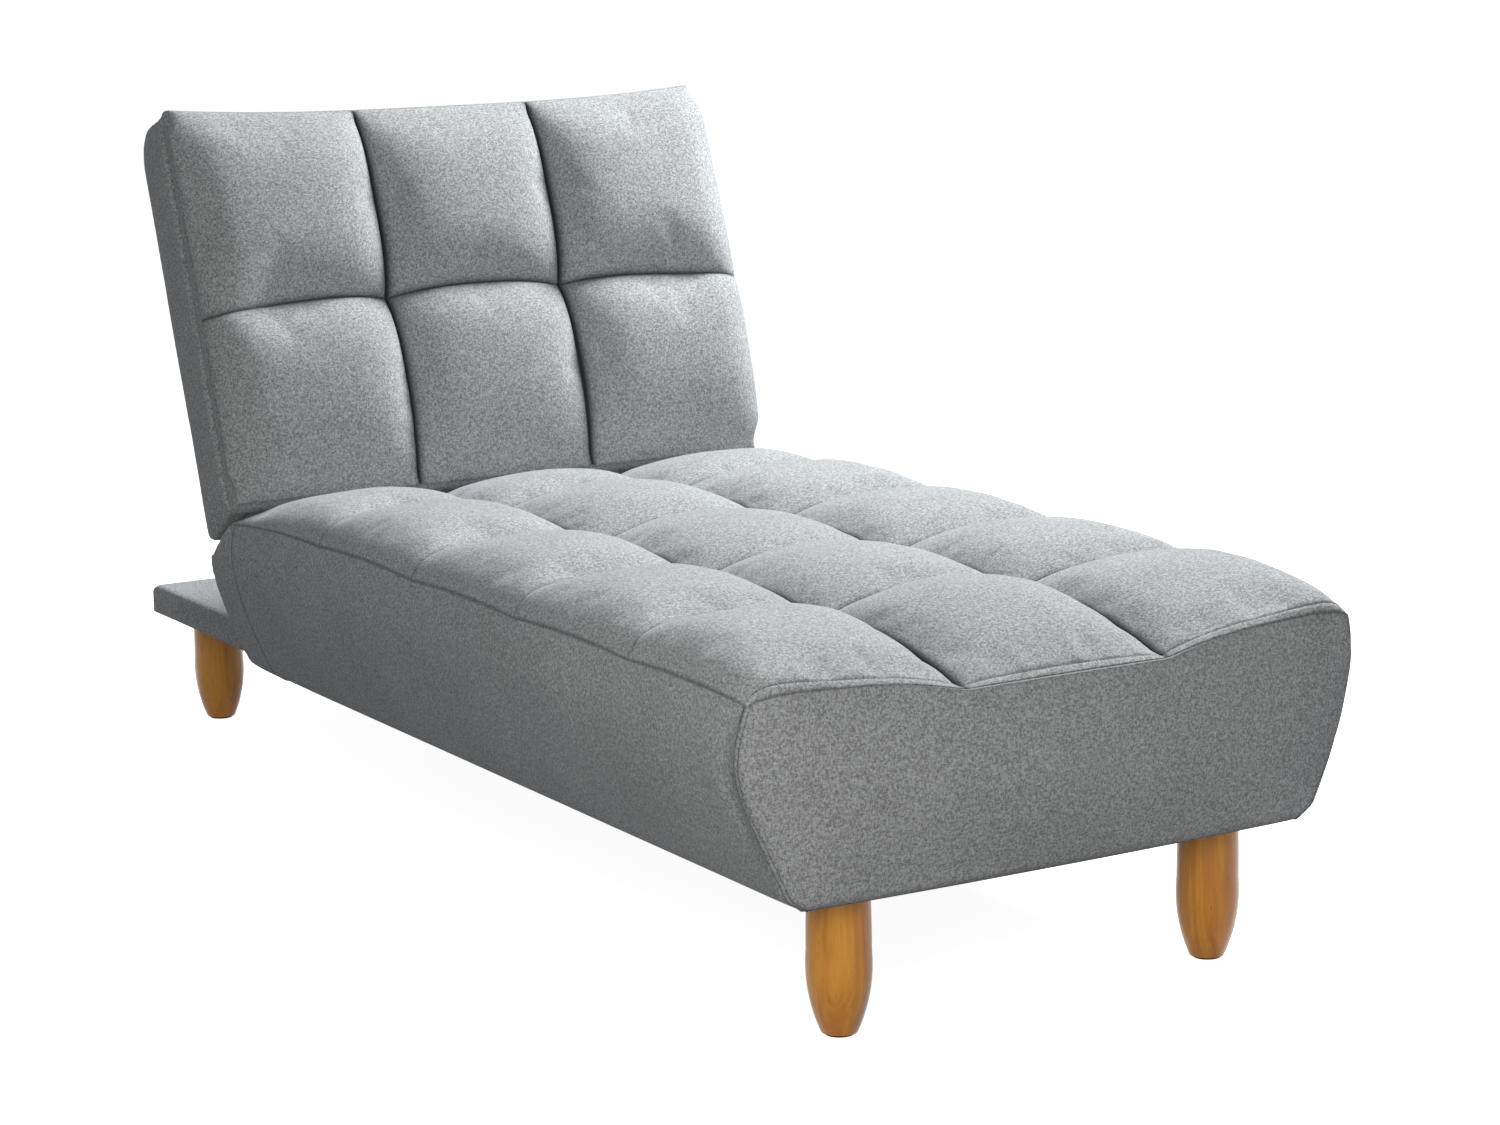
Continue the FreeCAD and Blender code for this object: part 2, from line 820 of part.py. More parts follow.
def ratchet():
    """The right ratchet disc, drawn in the backrest's frame: one notch for each position."""
    y, z = pivot_in_back()
    disc = rod_x(ratchet_radius, plate_face, ratchet_face, y, z)
    half = pawl_tooth_half + notch_side_play
    floor = ratchet_radius - notch_depth
    angles = [0.0, -release_angle / 2, -release_angle] + list(notch_angles)
    cuts = [rod_x(pin_radius + bore_gap, plate_face, ratchet_face, y, z)]
    for angle in angles:
        notch = box(plate_face, ratchet_face, y - half, y + half, z + floor, z + 2 * ratchet_radius)
        notch.rotate(Vector(0, y, z), Vector(1, 0, 0), -angle)
        cuts.append(notch)
    return disc.cut(cuts)


def hinge_pin():
    """The right pivot pin, with a head at each end."""
    inner = hinge_x - pin_head_thickness
    outer = post_face + side_play
    shaft = rod_x(pin_radius, inner, outer, pivot_y, pivot_height)
    heads = [
        rod_x(pin_head_radius, inner, hinge_x, pivot_y, pivot_height),
        rod_x(pin_head_radius, outer, outer + pin_head_thickness, pivot_y, pivot_height),
    ]
    return joined([shaft] + heads)


def pawl_pivot():
    y, z = pivot_in_back()
    return (y - pawl_length, z + ratchet_radius + pawl_lift + pawl_tooth_reach / 2)


def arm_strip():
    """The arm's edges across its width, in the backrest's frame."""
    middle = (frame_front + frame_rear) / 2
    return (middle - arm_width / 2, middle + arm_width / 2)


def arm_screw_places():
    y = sum(arm_strip()) / 2
    low = back_frame_bottom + back_rail_height + screw_inset
    high = arm_reach - screw_inset
    step = (high - low) / (arm_screws - 1)
    return [(y, low + step * number) for number in range(arm_screws)]


def hinge_arm():
    """The right arm: a hub on the pivot, an ear for the pawl and a bar up into the backrest."""
    y, z = pivot_in_back()
    near, far = arm_strip()
    ear_y, ear_z = pawl_pivot()
    hub = rod_x(arm_hub_radius, arm_face, post_face, y, z)
    bar = box(arm_face, post_face, near, far, z, arm_reach)
    ear = box(arm_face, post_face, ear_y, near + arm_width / 2, ear_z - ear_half, ear_z + ear_half)
    ear_end = rod_x(ear_half, arm_face, post_face, ear_y, ear_z)
    bores = [
        rod_x(pin_radius + bore_gap, arm_face, post_face, y, z),
        rod_x(pawl_pin_radius + bore_gap, arm_face, post_face, ear_y, ear_z),
    ]
    bores += [rod_x(screw_radius + bore_gap, arm_face, post_face, *place)
              for place in arm_screw_places()]
    return joined([hub, bar, ear, ear_end]).cut(bores)


def arm_screw_set():
    screws = []
    for y, z in arm_screw_places():
        shank = rod_x(screw_radius, arm_face, post_face + screw_length, y, z)
        head = rod_x(screw_head_radius, arm_face - screw_head_thickness, arm_face, y, z)
        screw = joined([shank, head])
        screws += [mirrored(screw), screw]
    return group(screws)


def pawl():
    """The right pawl, lifted clear of the disc: an eye, a bar and one tooth."""
    y, z = pivot_in_back()
    eye_y, eye_z = pawl_pivot()
    x0 = plate_face + side_play
    x1 = arm_face - side_play
    tip = z + ratchet_radius + pawl_lift
    eye = rod_x(pawl_eye_radius, x0, x1, eye_y, eye_z)
    top = tip + pawl_tooth_reach
    bar = box(x0, x1, eye_y, y + pawl_tooth_half, top - pawl_bar_height, top)
    tooth = box(x0, x1, y - pawl_tooth_half, y + pawl_tooth_half, tip, top)
    bore = rod_x(pawl_pin_radius + bore_gap, x0, x1, eye_y, eye_z)
    return joined([eye, bar, tooth]).cut(bore)


def pawl_pins():
    y, z = pawl_pivot()
    shaft = rod_x(pawl_pin_radius, plate_face + side_play, post_face, y, z)
    head = rod_x(pawl_pin_head_radius, post_face, post_face + pawl_pin_head_thickness, y, z)
    pin = joined([shaft, head])
    return group([mirrored(pin), pin])


def back_outline(x, inset):
    """The backrest's side outline behind the pad, drawn in by inset on its free edges."""
    front = back_pad_depth + soft_gap
    rear = back_depth - inset
    top = back_top - inset
    slope = (back_bottom_rear - back_bottom) / back_depth
    low_front = back_bottom + slope * front + inset
    low_rear = back_bottom_rear + inset
    high = back_top_round * math.sqrt(0.5)
    low = back_bottom_round * math.sqrt(0.5)
    points = [
        Vector(x, front, low_front),
        Vector(x, front, top),
        Vector(x, rear - back_top_round, top),
        Vector(x, rear, top - back_top_round),
        Vector(x, rear, low_rear + back_bottom_round),
        Vector(x, rear - back_bottom_round, low_rear - slope * back_bottom_round),
    ]
    upper = Vector(x, rear - back_top_round + high, top - back_top_round + high)
    lower = Vector(x, rear - back_bottom_round + low, low_rear + back_bottom_round - low)
    return Part.Wire([
        segment(points[0], points[1]),
        segment(points[1], points[2]),
        Part.Arc(points[2], upper, points[3]).toShape(),
        segment(points[3], points[4]),
        Part.Arc(points[4], lower, points[5]).toShape(),
        segment(points[5], points[0]),
    ])


def back_side_panel():
    """The right side panel: a flat slab with a pillowed outer face."""
    inner = Part.Face(back_outline(seam_half - back_side_thickness, 0))
    slab = inner.extrude(Vector(back_side_thickness, 0, 0))
    crown = back_outline(seam_half + back_side_bulge, back_side_inset)
    pillow = Part.makeLoft([back_outline(seam_half, 0), crown], True, True)
    return joined([slab, pillow])


def back_body():
    face = Part.Face(back_outline(-back_inner_half, 0))
    return face.extrude(Vector(2 * back_inner_half, 0, 0))


def back_band(y0, y1, z0, z1):
    return box(-seam_width, seam_width, y0, y1, z0, z1)


def back_top_panel(body):
    low = back_frame_top + soft_gap
    return body.common(back_band(0, back_depth + overshoot, low, back_top + overshoot))


def arm_slots(z0, z1):
    """Room for the arms where they pass through a soft or wooden piece."""
    near, far = arm_strip()
    return hinge_slots(
        arm_face - soft_gap, post_face + soft_gap, near - soft_gap, far + soft_gap, z0, z1
    )


def back_bottom_panel(body):
    high = back_frame_bottom - soft_gap
    panel = body.common(back_band(0, back_depth + overshoot, back_bottom_rear - overshoot, high))
    return panel.cut(arm_slots(back_bottom_rear - overshoot, high + overshoot))


def back_rear_panel(body):
    front = back_depth - back_rear_thickness
    return body.common(back_band(front, back_depth + overshoot, back_frame_bottom, back_frame_top))


def back_foam():
    front = back_pad_depth + soft_gap
    return box(-back_inner_half, back_inner_half, front, front + back_foam_depth,
               back_frame_bottom, back_frame_top)


def back_webbing():
    """Elastic straps stretched across the frame's front."""
    front = back_pad_depth + back_foam_depth + 2 * soft_gap
    room = back_frame_top - back_frame_bottom - web_width
    straps = []
    for number in range(web_straps):
        low = back_frame_bottom + room * (number + 0.5) / web_straps
        straps.append(box(-back_inner_half, back_inner_half, front, front + web_thickness,
                          low, low + web_width))
    return group(straps)


def back_stile():
    outer = back_inner_half
    return box(outer - stile_width, outer, frame_front, frame_rear, back_frame_bottom, back_frame_top)


def back_rail(z0):
    half = back_inner_half - stile_width
    return box(-half, half, frame_front, frame_rear, z0, z0 + back_rail_height)


def back_bottom_rail():
    top = back_frame_bottom + back_rail_height
    return back_rail(back_frame_bottom).cut(arm_slots(back_frame_bottom - overshoot, top + overshoot))


def back_hinge_posts():
    """Posts between the rails, which the hinge arms are screwed to."""
    low = back_frame_bottom + back_rail_height
    high = back_frame_top - back_rail_height
    right = box(post_face, post_face + stile_width, frame_front, frame_rear, low, high)
    right = right.cut([
        rod_x(screw_radius + bore_gap, post_face, post_face + screw_length, y, z)
        for y, z in arm_screw_places()
    ])
    return group([mirrored(right), right])


def save(name, shape):
    shape.exportStep("parts/" + name + ".step")


def save_pair(name, right):
    """A piece and its mirror image, each in its own node."""
    save(name + "_right", right)
    save(name + "_left", mirrored(right))


def make_seat():
    skin = seat_skin()
    mitre = levels_loft(mitre_outline)
    save("seat_pad", seat_pad())
    save("seat_front_panel", seat_front_panel(skin, mitre))
    save_pair("seat_side_panel", seat_side_panel(skin, mitre))
    save("seat_rear_panel", seat_rear_panel(skin))
    save("seat_front_rail", seat_front_rail())
    save("seat_rear_rail", seat_rear_rail())
    save_pair("seat_side_rail", seat_side_rail())
    save("seat_cross_rails", seat_cross_rails())
    save("seat_corner_blocks", seat_corner_blocks())
    save("seat_hinge_blocks", seat_hinge_blocks())
    save("seat_springs", seat_springs())
    save("seat_spring_clips", spring_clips())
    save("seat_felt", seat_felt())
    save("seat_foam", seat_foam())
    save("seat_dust_cover", seat_dust_cover())


def make_platform():
    save_pair("platform_side_rail", platform_side_rail())
    save("platform_rear_rail", platform_rear_rail())
    save("platform_deck", platform_deck())
    save("platform_cover", platform_cover())


def make_legs():
    blank = leg_blank()
    for end, places in (("front", front_leg_places()), ("rear", rear_leg_places())):
        for side, (x, y) in zip(("left", "right"), places):
            save("leg_" + end + "_" + side, blank.translated(Vector(x, y, 0)))
    save("leg_plates", leg_plates())
    save("leg_bolts", leg_bolts())
    save("leg_glides", leg_glides())


def make_hinges():
    save_pair("hinge_plate", hinge_plate())
    save_pair("hinge_ratchet", reclined(ratchet()))
    save_pair("hinge_pin", hinge_pin())
    save("hinge_plate_screws", hinge_screws())
    save_pair("hinge_arm", reclined(hinge_arm()))
    save("hinge_arm_screws", reclined(arm_screw_set()))
    save_pair("hinge_pawl", reclined(pawl()))
    save("hinge_pawl_pins", reclined(pawl_pins()))


def make_backrest():
    body = back_body()
    save("back_pad", reclined(back_pad()))
    save_pair("back_side_panel", reclined(back_side_panel()))
    save("back_top_panel", reclined(back_top_panel(body)))
    save("back_bottom_panel", reclined(back_bottom_panel(body)))
    save("back_rear_panel", reclined(back_rear_panel(body)))
    save("back_foam", reclined(back_foam()))
    save("back_webbing", reclined(back_webbing()))
    save_pair("back_stile", reclined(back_stile()))
    save("back_top_rail", reclined(back_rail(back_frame_top - back_rail_height)))
    save("back_bottom_rail", reclined(back_bottom_rail()))
    save("back_hinge_posts", reclined(back_hinge_posts()))


os.makedirs("parts", exist_ok=True)
make_seat()
make_platform()
make_legs()
make_hinges()
make_backrest()
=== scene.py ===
"""Dresses the recamier: tufted upholstery, turned legs, ratchet hinges, timber and springs."""

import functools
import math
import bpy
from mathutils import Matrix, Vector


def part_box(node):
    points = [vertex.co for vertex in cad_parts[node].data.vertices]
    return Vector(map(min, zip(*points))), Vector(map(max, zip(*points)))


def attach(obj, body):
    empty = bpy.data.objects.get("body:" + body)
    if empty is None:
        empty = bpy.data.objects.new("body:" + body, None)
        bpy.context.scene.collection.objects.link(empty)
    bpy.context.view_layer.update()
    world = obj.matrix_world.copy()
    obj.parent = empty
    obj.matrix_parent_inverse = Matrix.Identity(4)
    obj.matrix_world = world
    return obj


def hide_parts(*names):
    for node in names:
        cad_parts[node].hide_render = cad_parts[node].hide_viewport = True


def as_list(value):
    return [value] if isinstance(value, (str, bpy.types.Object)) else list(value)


bl_info = {
    "name": "Recamier",
    "version": (1, 0, 0),
    "blender": (4, 5, 0),
    "location": "View3D > Sidebar > Recamier",
    "description": "A tufted chaise longue with a reclining back",
    "category": "Object",
}

from dataclasses import dataclass

import bmesh
import bpy
import numpy as np
from bpy.props import FloatProperty, FloatVectorProperty, IntProperty, PointerProperty
from mathutils import Matrix, Vector, noise

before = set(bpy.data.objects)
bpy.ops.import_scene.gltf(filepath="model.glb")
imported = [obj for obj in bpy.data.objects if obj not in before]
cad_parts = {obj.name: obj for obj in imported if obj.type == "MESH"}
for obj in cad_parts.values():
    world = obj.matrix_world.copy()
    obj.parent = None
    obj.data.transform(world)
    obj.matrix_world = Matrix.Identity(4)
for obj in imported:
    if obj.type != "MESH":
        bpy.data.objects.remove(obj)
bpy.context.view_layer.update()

# Places in the frame, and the seat pad's seam above its underside
PAD_LOW, PAD_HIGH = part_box("seat_pad")
Y_FOOT = PAD_LOW.y
Y_REAR_SEAM = PAD_HIGH.y
SEAM_HALF = PAD_HIGH.x
PAD_BASE = PAD_LOW.z
PAD_SKIRT = 0.021
SEAT_SEAM = PAD_BASE + PAD_SKIRT
Y_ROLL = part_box("seat_side_panel_left")[1].y
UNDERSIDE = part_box("seat_front_panel")[0].z


# Sizes and colours that a user would change

def length(name, value, text):
    return FloatProperty(name=name, description=text, default=value, unit="LENGTH", precision=4)


def colour(name, value, text):
    return FloatVectorProperty(
        name=name, description=text, default=value, size=3, min=0, max=1, subtype="COLOR"
    )


class RecamierSizes(bpy.types.PropertyGroup):
    pillow_fullness: length("Pillow fullness", 0.001, "Extra crown on each seat pillow")
    edge_wadding: length("Edge wadding", 0.006, "Extra wadding near the outer edges")
    back_horn: length("Back corner rise", 0.008, "How far the back's top corners stand above its middle")
    side_bulge: length("Back side bulge", 0.026, "How full the back pad is along its two sides")
    tuft_depth: length("Tuft depth", 0.006, "How far the long tufting seams are pulled in")
    cross_depth: length("Cross tuft depth", 0.004, "How far the cross seams are pulled in")
    tuft_bow: length("Tuft bow", 0.030, "How far the cross seams bow to the rear")
    side_seam_roll: length("Side seam roll", 0.002, "How far the panels turn in at their seams")
    corner_wrap: length("Corner wrap", 0.014, "How far the foot panel is drawn round the corners")
    corner_pinch: length("Corner pinch", 0.007, "Depth of the fold beside the foot corners")
    stitch_offset: length("Topstitch offset", 0.006, "Topstitching to seam")
    stitch_pitch: length("Stitch pitch", 0.0042, "From one stitch to the next")
    stitch_size: length("Stitch thickness", 0.0008, "Thickness of the topstitching thread")
    cloth_frames: IntProperty(
        name="Cloth frames", description="Steps of the cover's simulation", default=20, min=1
    )
    cloth_pressure: FloatProperty(
        name="Filling pressure", description="How hard the wadding fills the cover", default=4.0
    )
    cloth_excess: FloatProperty(
        name="Cover excess", description="Extra cloth gathered into the seams", default=0.010,
        min=0, max=0.2, subtype="FACTOR"
    )
    cloth_reach: length("Cloth reach", 0.022, "Furthest that the simulation may move the cover")


class RecamierColours(bpy.types.PropertyGroup):
    yarn_light: colour("Light yarn", (0.62, 0.63, 0.635), "Lighter yarn of the melange cover")
    yarn_mid: colour("Middle yarn", (0.43, 0.435, 0.437), "Main yarn of the melange cover")
    yarn_dark: colour("Dark yarn", (0.26, 0.263, 0.265), "Darker yarn of the melange cover")
    wood_light: colour("Light grain", (0.98, 0.43, 0.048), "Pale grain of the lacquered legs")
    wood_dark: colour("Dark grain", (0.62, 0.19, 0.013), "Dark grain of the lacquered legs")
    timber: colour("Frame timber", (0.62, 0.44, 0.26), "Sawn timber inside")
    steel: colour("Zinc steel", (0.60, 0.62, 0.65), "Hinges, screws and plates")
    floor: colour("Floor", (0.80, 0.80, 0.80), "Studio floor")


def sizes():
    return bpy.context.scene.recamier_sizes


def colours():
    return bpy.context.scene.recamier_colours


def put(thing, **settings):
    """Sets several properties of one thing."""
    for key, value in settings.items():
        setattr(thing, key, value)
    return thing


def placed(name, data):
    """An object with this data, in the scene."""
    made = bpy.data.objects.new(name, data)
    bpy.context.scene.collection.objects.link(made)
    return made


# Materials

class Nodes:
    """Adds nodes to a tree; their inputs are plain values or other nodes' sockets."""

    def __init__(self, tree):
        self.tree = tree

    def node(self, kind, inputs=None, **settings):
        made = put(self.tree.nodes.new("ShaderNode" + kind), **settings)
        for key, value in (inputs or {}).items():
            self.feed(made.inputs[key], value)
        return made

    def feed(self, socket, value):
        if isinstance(value, bpy.types.NodeSocket):
            self.tree.links.new(value, socket)
        else:
            socket.default_value = value


class Recipe(Nodes):
    """A material under construction, in the object's own coordinates."""

    def __init__(self, name):
        self.material = bpy.data.materials.new(name)
        self.material.use_nodes = True
        super().__init__(self.material.node_tree)
        self.shader = self.tree.nodes["Principled BSDF"]
        self.place = self.node("TexCoord").outputs["Object"]

    def grain(self, scale, detail=2.0, rough=0.5, distortion=0.0):
        """Noise from 0 to 1; scale is one number, or one along each axis."""
        scale = scale if isinstance(scale, tuple) else (scale,) * 3
        place = self.node("Mapping", {"Vector": self.place, "Scale": scale}).outputs["Vector"]
        return self.node("TexNoise", {
            "Vector": place, "Scale": 1.0, "Detail": detail,
            "Roughness": rough, "Distortion": distortion,
        }).outputs["Fac"]

    def cells(self, scale, output="Distance"):
        return self.node("TexVoronoi", {"Vector": self.place, "Scale": scale}).outputs[output]

    def height(self):
        return self.node("SeparateXYZ", {"Vector": self.place}).outputs["Z"]

    def ramp(self, value, stops):
        made = self.node("ValToRGB", {"Fac": value})
        marks = made.color_ramp.elements
        for at, (position, tint) in enumerate((stops[0], stops[-1])):
            marks[at].position = position
            marks[at].color = (*tint, 1)
        for position, tint in stops[1:-1]:
            marks.new(position).color = (*tint, 1)
        return made.outputs["Color"]

    def sum(self, first, second, operation="ADD"):
        return self.node("Math", {0: first, 1: second}, operation=operation).outputs["Value"]

    def between(self, share, first, second, blend="MIX"):
        inputs = {0: share, 6: first, 7: second}
        return self.node("Mix", inputs, data_type="RGBA", blend_type=blend).outputs[2]

    def remap(self, value, low, high, new_low, new_high):
        return self.node("MapRange", {
            "Value": value, "From Min": low, "From Max": high, "To Min": new_low, "To Max": new_high,
        }).outputs["Result"]

    def bump(self, height, strength, distance, under=None):
        inputs = {"Height": height, "Strength": strength, "Distance": distance}
        if under is not None:
            inputs["Normal"] = under
        return self.node("Bump", inputs).outputs["Normal"]

    def finish(self, base, rough, normal, **constants):
        self.feed(self.shader.inputs["Base Color"], base)
        self.feed(self.shader.inputs["Roughness"], rough)
        self.feed(self.shader.inputs["Normal"], normal)
        for key, value in constants.items():
            self.shader.inputs[key.replace("_", " ")].default_value = value
        return self.material


def melange_cover(r):
    """Brushed melange weave: light and dark yarns, soft nap, darker in the tufting seams with painted
    shade.
    """
    tint = colours()
    warp, weft, fill = (
        r.grain(scale, 2.0, 0.55) for scale in ((820, 820, 220), (220, 820, 820), (820, 220, 820))
    )
    threads = r.sum(r.sum(warp, weft), fill)
    yarns = r.sum(threads, r.sum(r.grain(360, 3.0, 0.6), 1.6, "MULTIPLY"))
    yarn = r.ramp(r.remap(yarns, 1.9, 2.7, 0.0, 1.0), [
        (0.12, tint.yarn_dark), (0.5, tint.yarn_mid), (0.9, tint.yarn_light),
    ])
    shade = r.remap(r.grain(7, 3.0), 0.3, 0.7, 0.93, 1.05)
    grey = r.node("CombineColor", {"Red": shade, "Green": shade, "Blue": shade}).outputs["Color"]
    cloudy = r.between(1.0, yarn, grey, "MULTIPLY")
    # The seam attribute is painted shade: it darkens the cloth towards near black in the seams, creases
    # and folds.
    seam = r.node("Attribute", attribute_name="seam").outputs["Fac"]
    base = r.between(seam, cloudy, (0.045, 0.048, 0.052, 1))
    nap = r.bump(r.grain(160, 2.0, 0.6), 0.25, 0.0012, r.bump(threads, 0.35, 0.0006))
    return r.finish(base, 0.92, nap, Specular_IOR_Level=0.18, Sheen_Weight=0.3,
                    Sheen_Roughness=0.45, Sheen_Tint=(0.92, 0.95, 1.0, 1.0))


def lacquered_legs(r):
    """Honey-coloured turned wood: grain along the leg, a few dark streaks, satin lacquer."""
    light, dark = tuple(colours().wood_light), tuple(colours().wood_dark)
    middle = tuple((a + b) / 2 for a, b in zip(light, dark))
    bands = r.grain((46, 46, 3.2), 3.0, 0.55, 1.4)
    fibres = r.grain((900, 900, 26), 3.0, 0.6)
    pores = r.grain((520, 520, 60))
    tone = r.ramp(bands, [(0.30, dark), (0.46, middle), (0.58, light), (0.75, middle)])
    base = r.between(r.remap(fibres, 0.35, 0.7, 0.0, 0.32), tone, (*dark, 1))
    base = r.between(r.remap(pores, 0.66, 0.78, 0.0, 0.6), base, (0.17, 0.06, 0.015, 1))
    # Darker towards the floor, over the leg's lowest 3 cm.
    base = r.between(r.remap(r.height(), 0.0, 0.03, 0.35, 0.0), base, (*dark, 1))
    return r.finish(base, r.remap(bands, 0.3, 0.7, 0.30, 0.42), r.bump(fibres, 0.12, 0.0003),
                    Coat_Weight=0.18, Coat_Roughness=0.25, Specular_IOR_Level=0.35)


def sawn_timber(r):
    tint = tuple(colours().timber)
    bands = r.grain((60, 5, 60), 3.0, 0.55, 1.0)
    saw = r.grain((40, 700, 700))
    base = r.ramp(bands, [(0.3, tuple(c * 0.62 for c in tint)), (0.5, tint),
                          (0.72, tuple(min(1.0, c * 1.15) for c in tint))])
    return r.finish(base, 0.7, r.bump(r.sum(saw, bands), 0.3, 0.0006), Specular_IOR_Level=0.3)


def birch_plywood(r):
    plies = r.sum(r.sum(r.height(), 3800.0, "MULTIPLY"), 0.0, "SINE")
    face = r.ramp(r.grain((30, 4, 30), 3.0, 0.5, 1.2),
                  [(0.3, (0.52, 0.36, 0.20)), (0.7, (0.72, 0.55, 0.35))])
    base = r.between(r.remap(plies, 0.5, 0.9, 0.0, 0.25), face, (0.33, 0.2, 0.1, 1))
    ridges = r.bump(r.grain((500, 40, 500)), 0.2, 0.0004)
    return r.finish(base, 0.6, ridges, Specular_IOR_Level=0.3)


def zinc_steel(r):
    base = r.between(0.14, (*colours().steel, 1), r.cells(190.0, "Color"), "SOFT_LIGHT")
    rough = r.remap(r.grain(260), 0.3, 0.7, 0.26, 0.42)
    return r.finish(base, rough, r.bump(r.grain((90, 1400, 1400)), 0.08, 0.0002), Metallic=1.0)


OWN_FINISHES = {
    make.__name__: make
    for make in (melange_cover, lacquered_legs, sawn_timber, birch_plywood, zinc_steel)
}

# Plainer finishes: the colour's field and its stops, the roughness, the bump's own field (or the
# colour's), its strength and depth, and the specular level, which a metal doesn't need
PLAIN_FINISHES = {
    "seam_thread": (
        ("grain", 1500), [(0.3, (0.085, 0.09, 0.095)), (0.7, (0.16, 0.168, 0.175))], 0.7,
        ("grain", 3000), 0.3, 0.0002, 0.3),
    "black_cloth": (
        ("cells", 420.0), [(0.1, (0.03, 0.03, 0.032)), (0.7, (0.012, 0.012, 0.013))], 0.85,
        None, 0.3, 0.0004, 0.2),
    "spring_steel": (
        ("grain", 300), [(0.3, (0.20, 0.20, 0.21)), (0.7, (0.36, 0.35, 0.34))], 0.36,
        ("grain", 1200), 0.1, 0.0002, None),
    "seat_foam": (
        ("cells", 700.0), [(0.0, (0.52, 0.47, 0.34)), (0.5, (0.80, 0.76, 0.62))], 0.95,
        None, 0.5, 0.0008, 0.1),
    "needled_felt": (
        ("grain", 600, 4.0, 0.7, 1.5),
        [(0.3, (0.16, 0.16, 0.17)), (0.5, (0.34, 0.33, 0.33)), (0.72, (0.52, 0.50, 0.48))], 0.95,
        None, 0.5, 0.001, 0.1),
    "elastic_webbing": (
        ("grain", (8, 900, 900), 1.0, 0.4),
        [(0.35, (0.05, 0.045, 0.04)), (0.65, (0.17, 0.15, 0.13))], 0.8,
        None, 0.5, 0.0006, 0.2),
    "leg_glide": (
        ("grain", 900, 3.0), [(0.3, (0.05, 0.03, 0.02)), (0.7, (0.11, 0.07, 0.045))], 0.9,
        ("grain", 1500), 0.4, 0.0005, 0.2),
}


@functools.cache
def material(finish):
    """Each finish is made once and shared."""
    r = Recipe(finish)
    if finish in OWN_FINISHES:
        return OWN_FINISHES[finish](r)
    colour_field, stops, rough, bump_field, strength, depth, specular = PLAIN_FINISHES[finish]
    kind, *settings = colour_field
    field = getattr(r, kind)(*settings)
    base = r.ramp(field, stops)
    if bump_field:
        kind, *settings = bump_field
        field = getattr(r, kind)(*settings)
    constants = {"Specular_IOR_Level": specular} if specular else {"Metallic": 1.0}
    return r.finish(base, rough, r.bump(field, strength, depth), **constants)


# Shapes

def smooth_step(value, low, high):
    share = np.clip((value - low) / (high - low), 0.0, 1.0)
    return share * share * (3 - 2 * share)


def fading(amount, distance, width=0.006):
    """An amount that dies away with distance."""
    return amount * np.exp(-distance / width)


def bell(value, middle, width):
    return np.exp(-((value - middle) / width) ** 2)


def clustered(total, fine, step, fine_end=None):
    """Places from 0 to total: fine ones near each end, even ones between."""
    start = np.array(fine)
    end = start if fine_end is None else np.array(fine_end)
    inner = total - start[-1] - end[-1]
    count = max(2, int(round(inner / step)))
    middle = start[-1] + inner * np.arange(1, count) / count
    return np.concatenate([start, middle, total - end[::-1]])


PILLOW_FINE = [v / 1000 for v in (0, 1.4, 3, 5, 8, 12, 17.5, 24.5)]
STITCHED_FINE = [v / 1000 for v in (0, 1.5, 3, 4.6, 6, 7.4, 9.2, 12.5, 17.5, 24.5)]
SEAM_FINE = [v / 1000 for v in (0, 0.6, 1.4, 2.4, 3.6, 4.8, 5.4, 6, 6.6, 7.4, 9, 11, 14, 18, 23)]


def ripple(points, scale, shift=0.0):
    """Smooth noise from -1 to 1 at each point; scale holds one wave's length on each axis."""
    flat = points.reshape(-1, 3) / np.array(scale) + shift
    found = np.array([noise.noise(Vector(p)) for p in flat.tolist()])
    return found.reshape(points.shape[:-1])


def unit(vectors):
    return vectors / np.maximum(np.linalg.norm(vectors, axis=-1, keepdims=True), 1e-12)


def grid_normals(points):
    return unit(np.cross(np.gradient(points, axis=1), np.gradient(points, axis=0)))


def grid_faces(rows, columns, start=0, flip=False):
    index = np.arange(rows * columns).reshape(rows, columns) + start
    quads = np.stack([index[:-1, :-1], index[:-1, 1:], index[1:, 1:], index[1:, :-1]], -1)
    quads = quads.reshape(-1, 4)
    return quads[:, ::-1] if flip else quads


def rim(rows, columns, start=0):
    """The grid's outer edge, in order."""
    index = np.arange(rows * columns).reshape(rows, columns) + start
    return np.concatenate([index[0, :-1], index[:-1, -1], index[-1, :0:-1], index[:0:-1, 0]])


def new_object(name, vertices, faces, finish=None):
    mesh = bpy.data.meshes.new(name)
    mesh.from_pydata([tuple(v) for v in vertices], [], [tuple(f) for f in faces])
    mesh.validate()
    mesh.polygons.foreach_set("use_smooth", [True] * len(mesh.polygons))
    if finish is not None:
        mesh.materials.append(material(finish))
    return placed(name, mesh)


def outward(made, fill=False):
    """Turns all faces outward; fill closes an open underside with one flat face first."""
    work = bmesh.new()
    work.from_mesh(made.data)
    if fill:
        bmesh.ops.holes_fill(work, edges=[e for e in work.edges if e.is_boundary], sides=0)
    bmesh.ops.recalc_face_normals(work, faces=work.faces)
    work.to_mesh(made.data)
    work.free()
    return made


def mark(made, name, values):
    """Stores one number per vertex."""
    layer = made.data.attributes.get(name) or made.data.attributes.new(name, "FLOAT", "POINT")
    layer.data.foreach_set("value", np.asarray(values, np.float32).ravel())


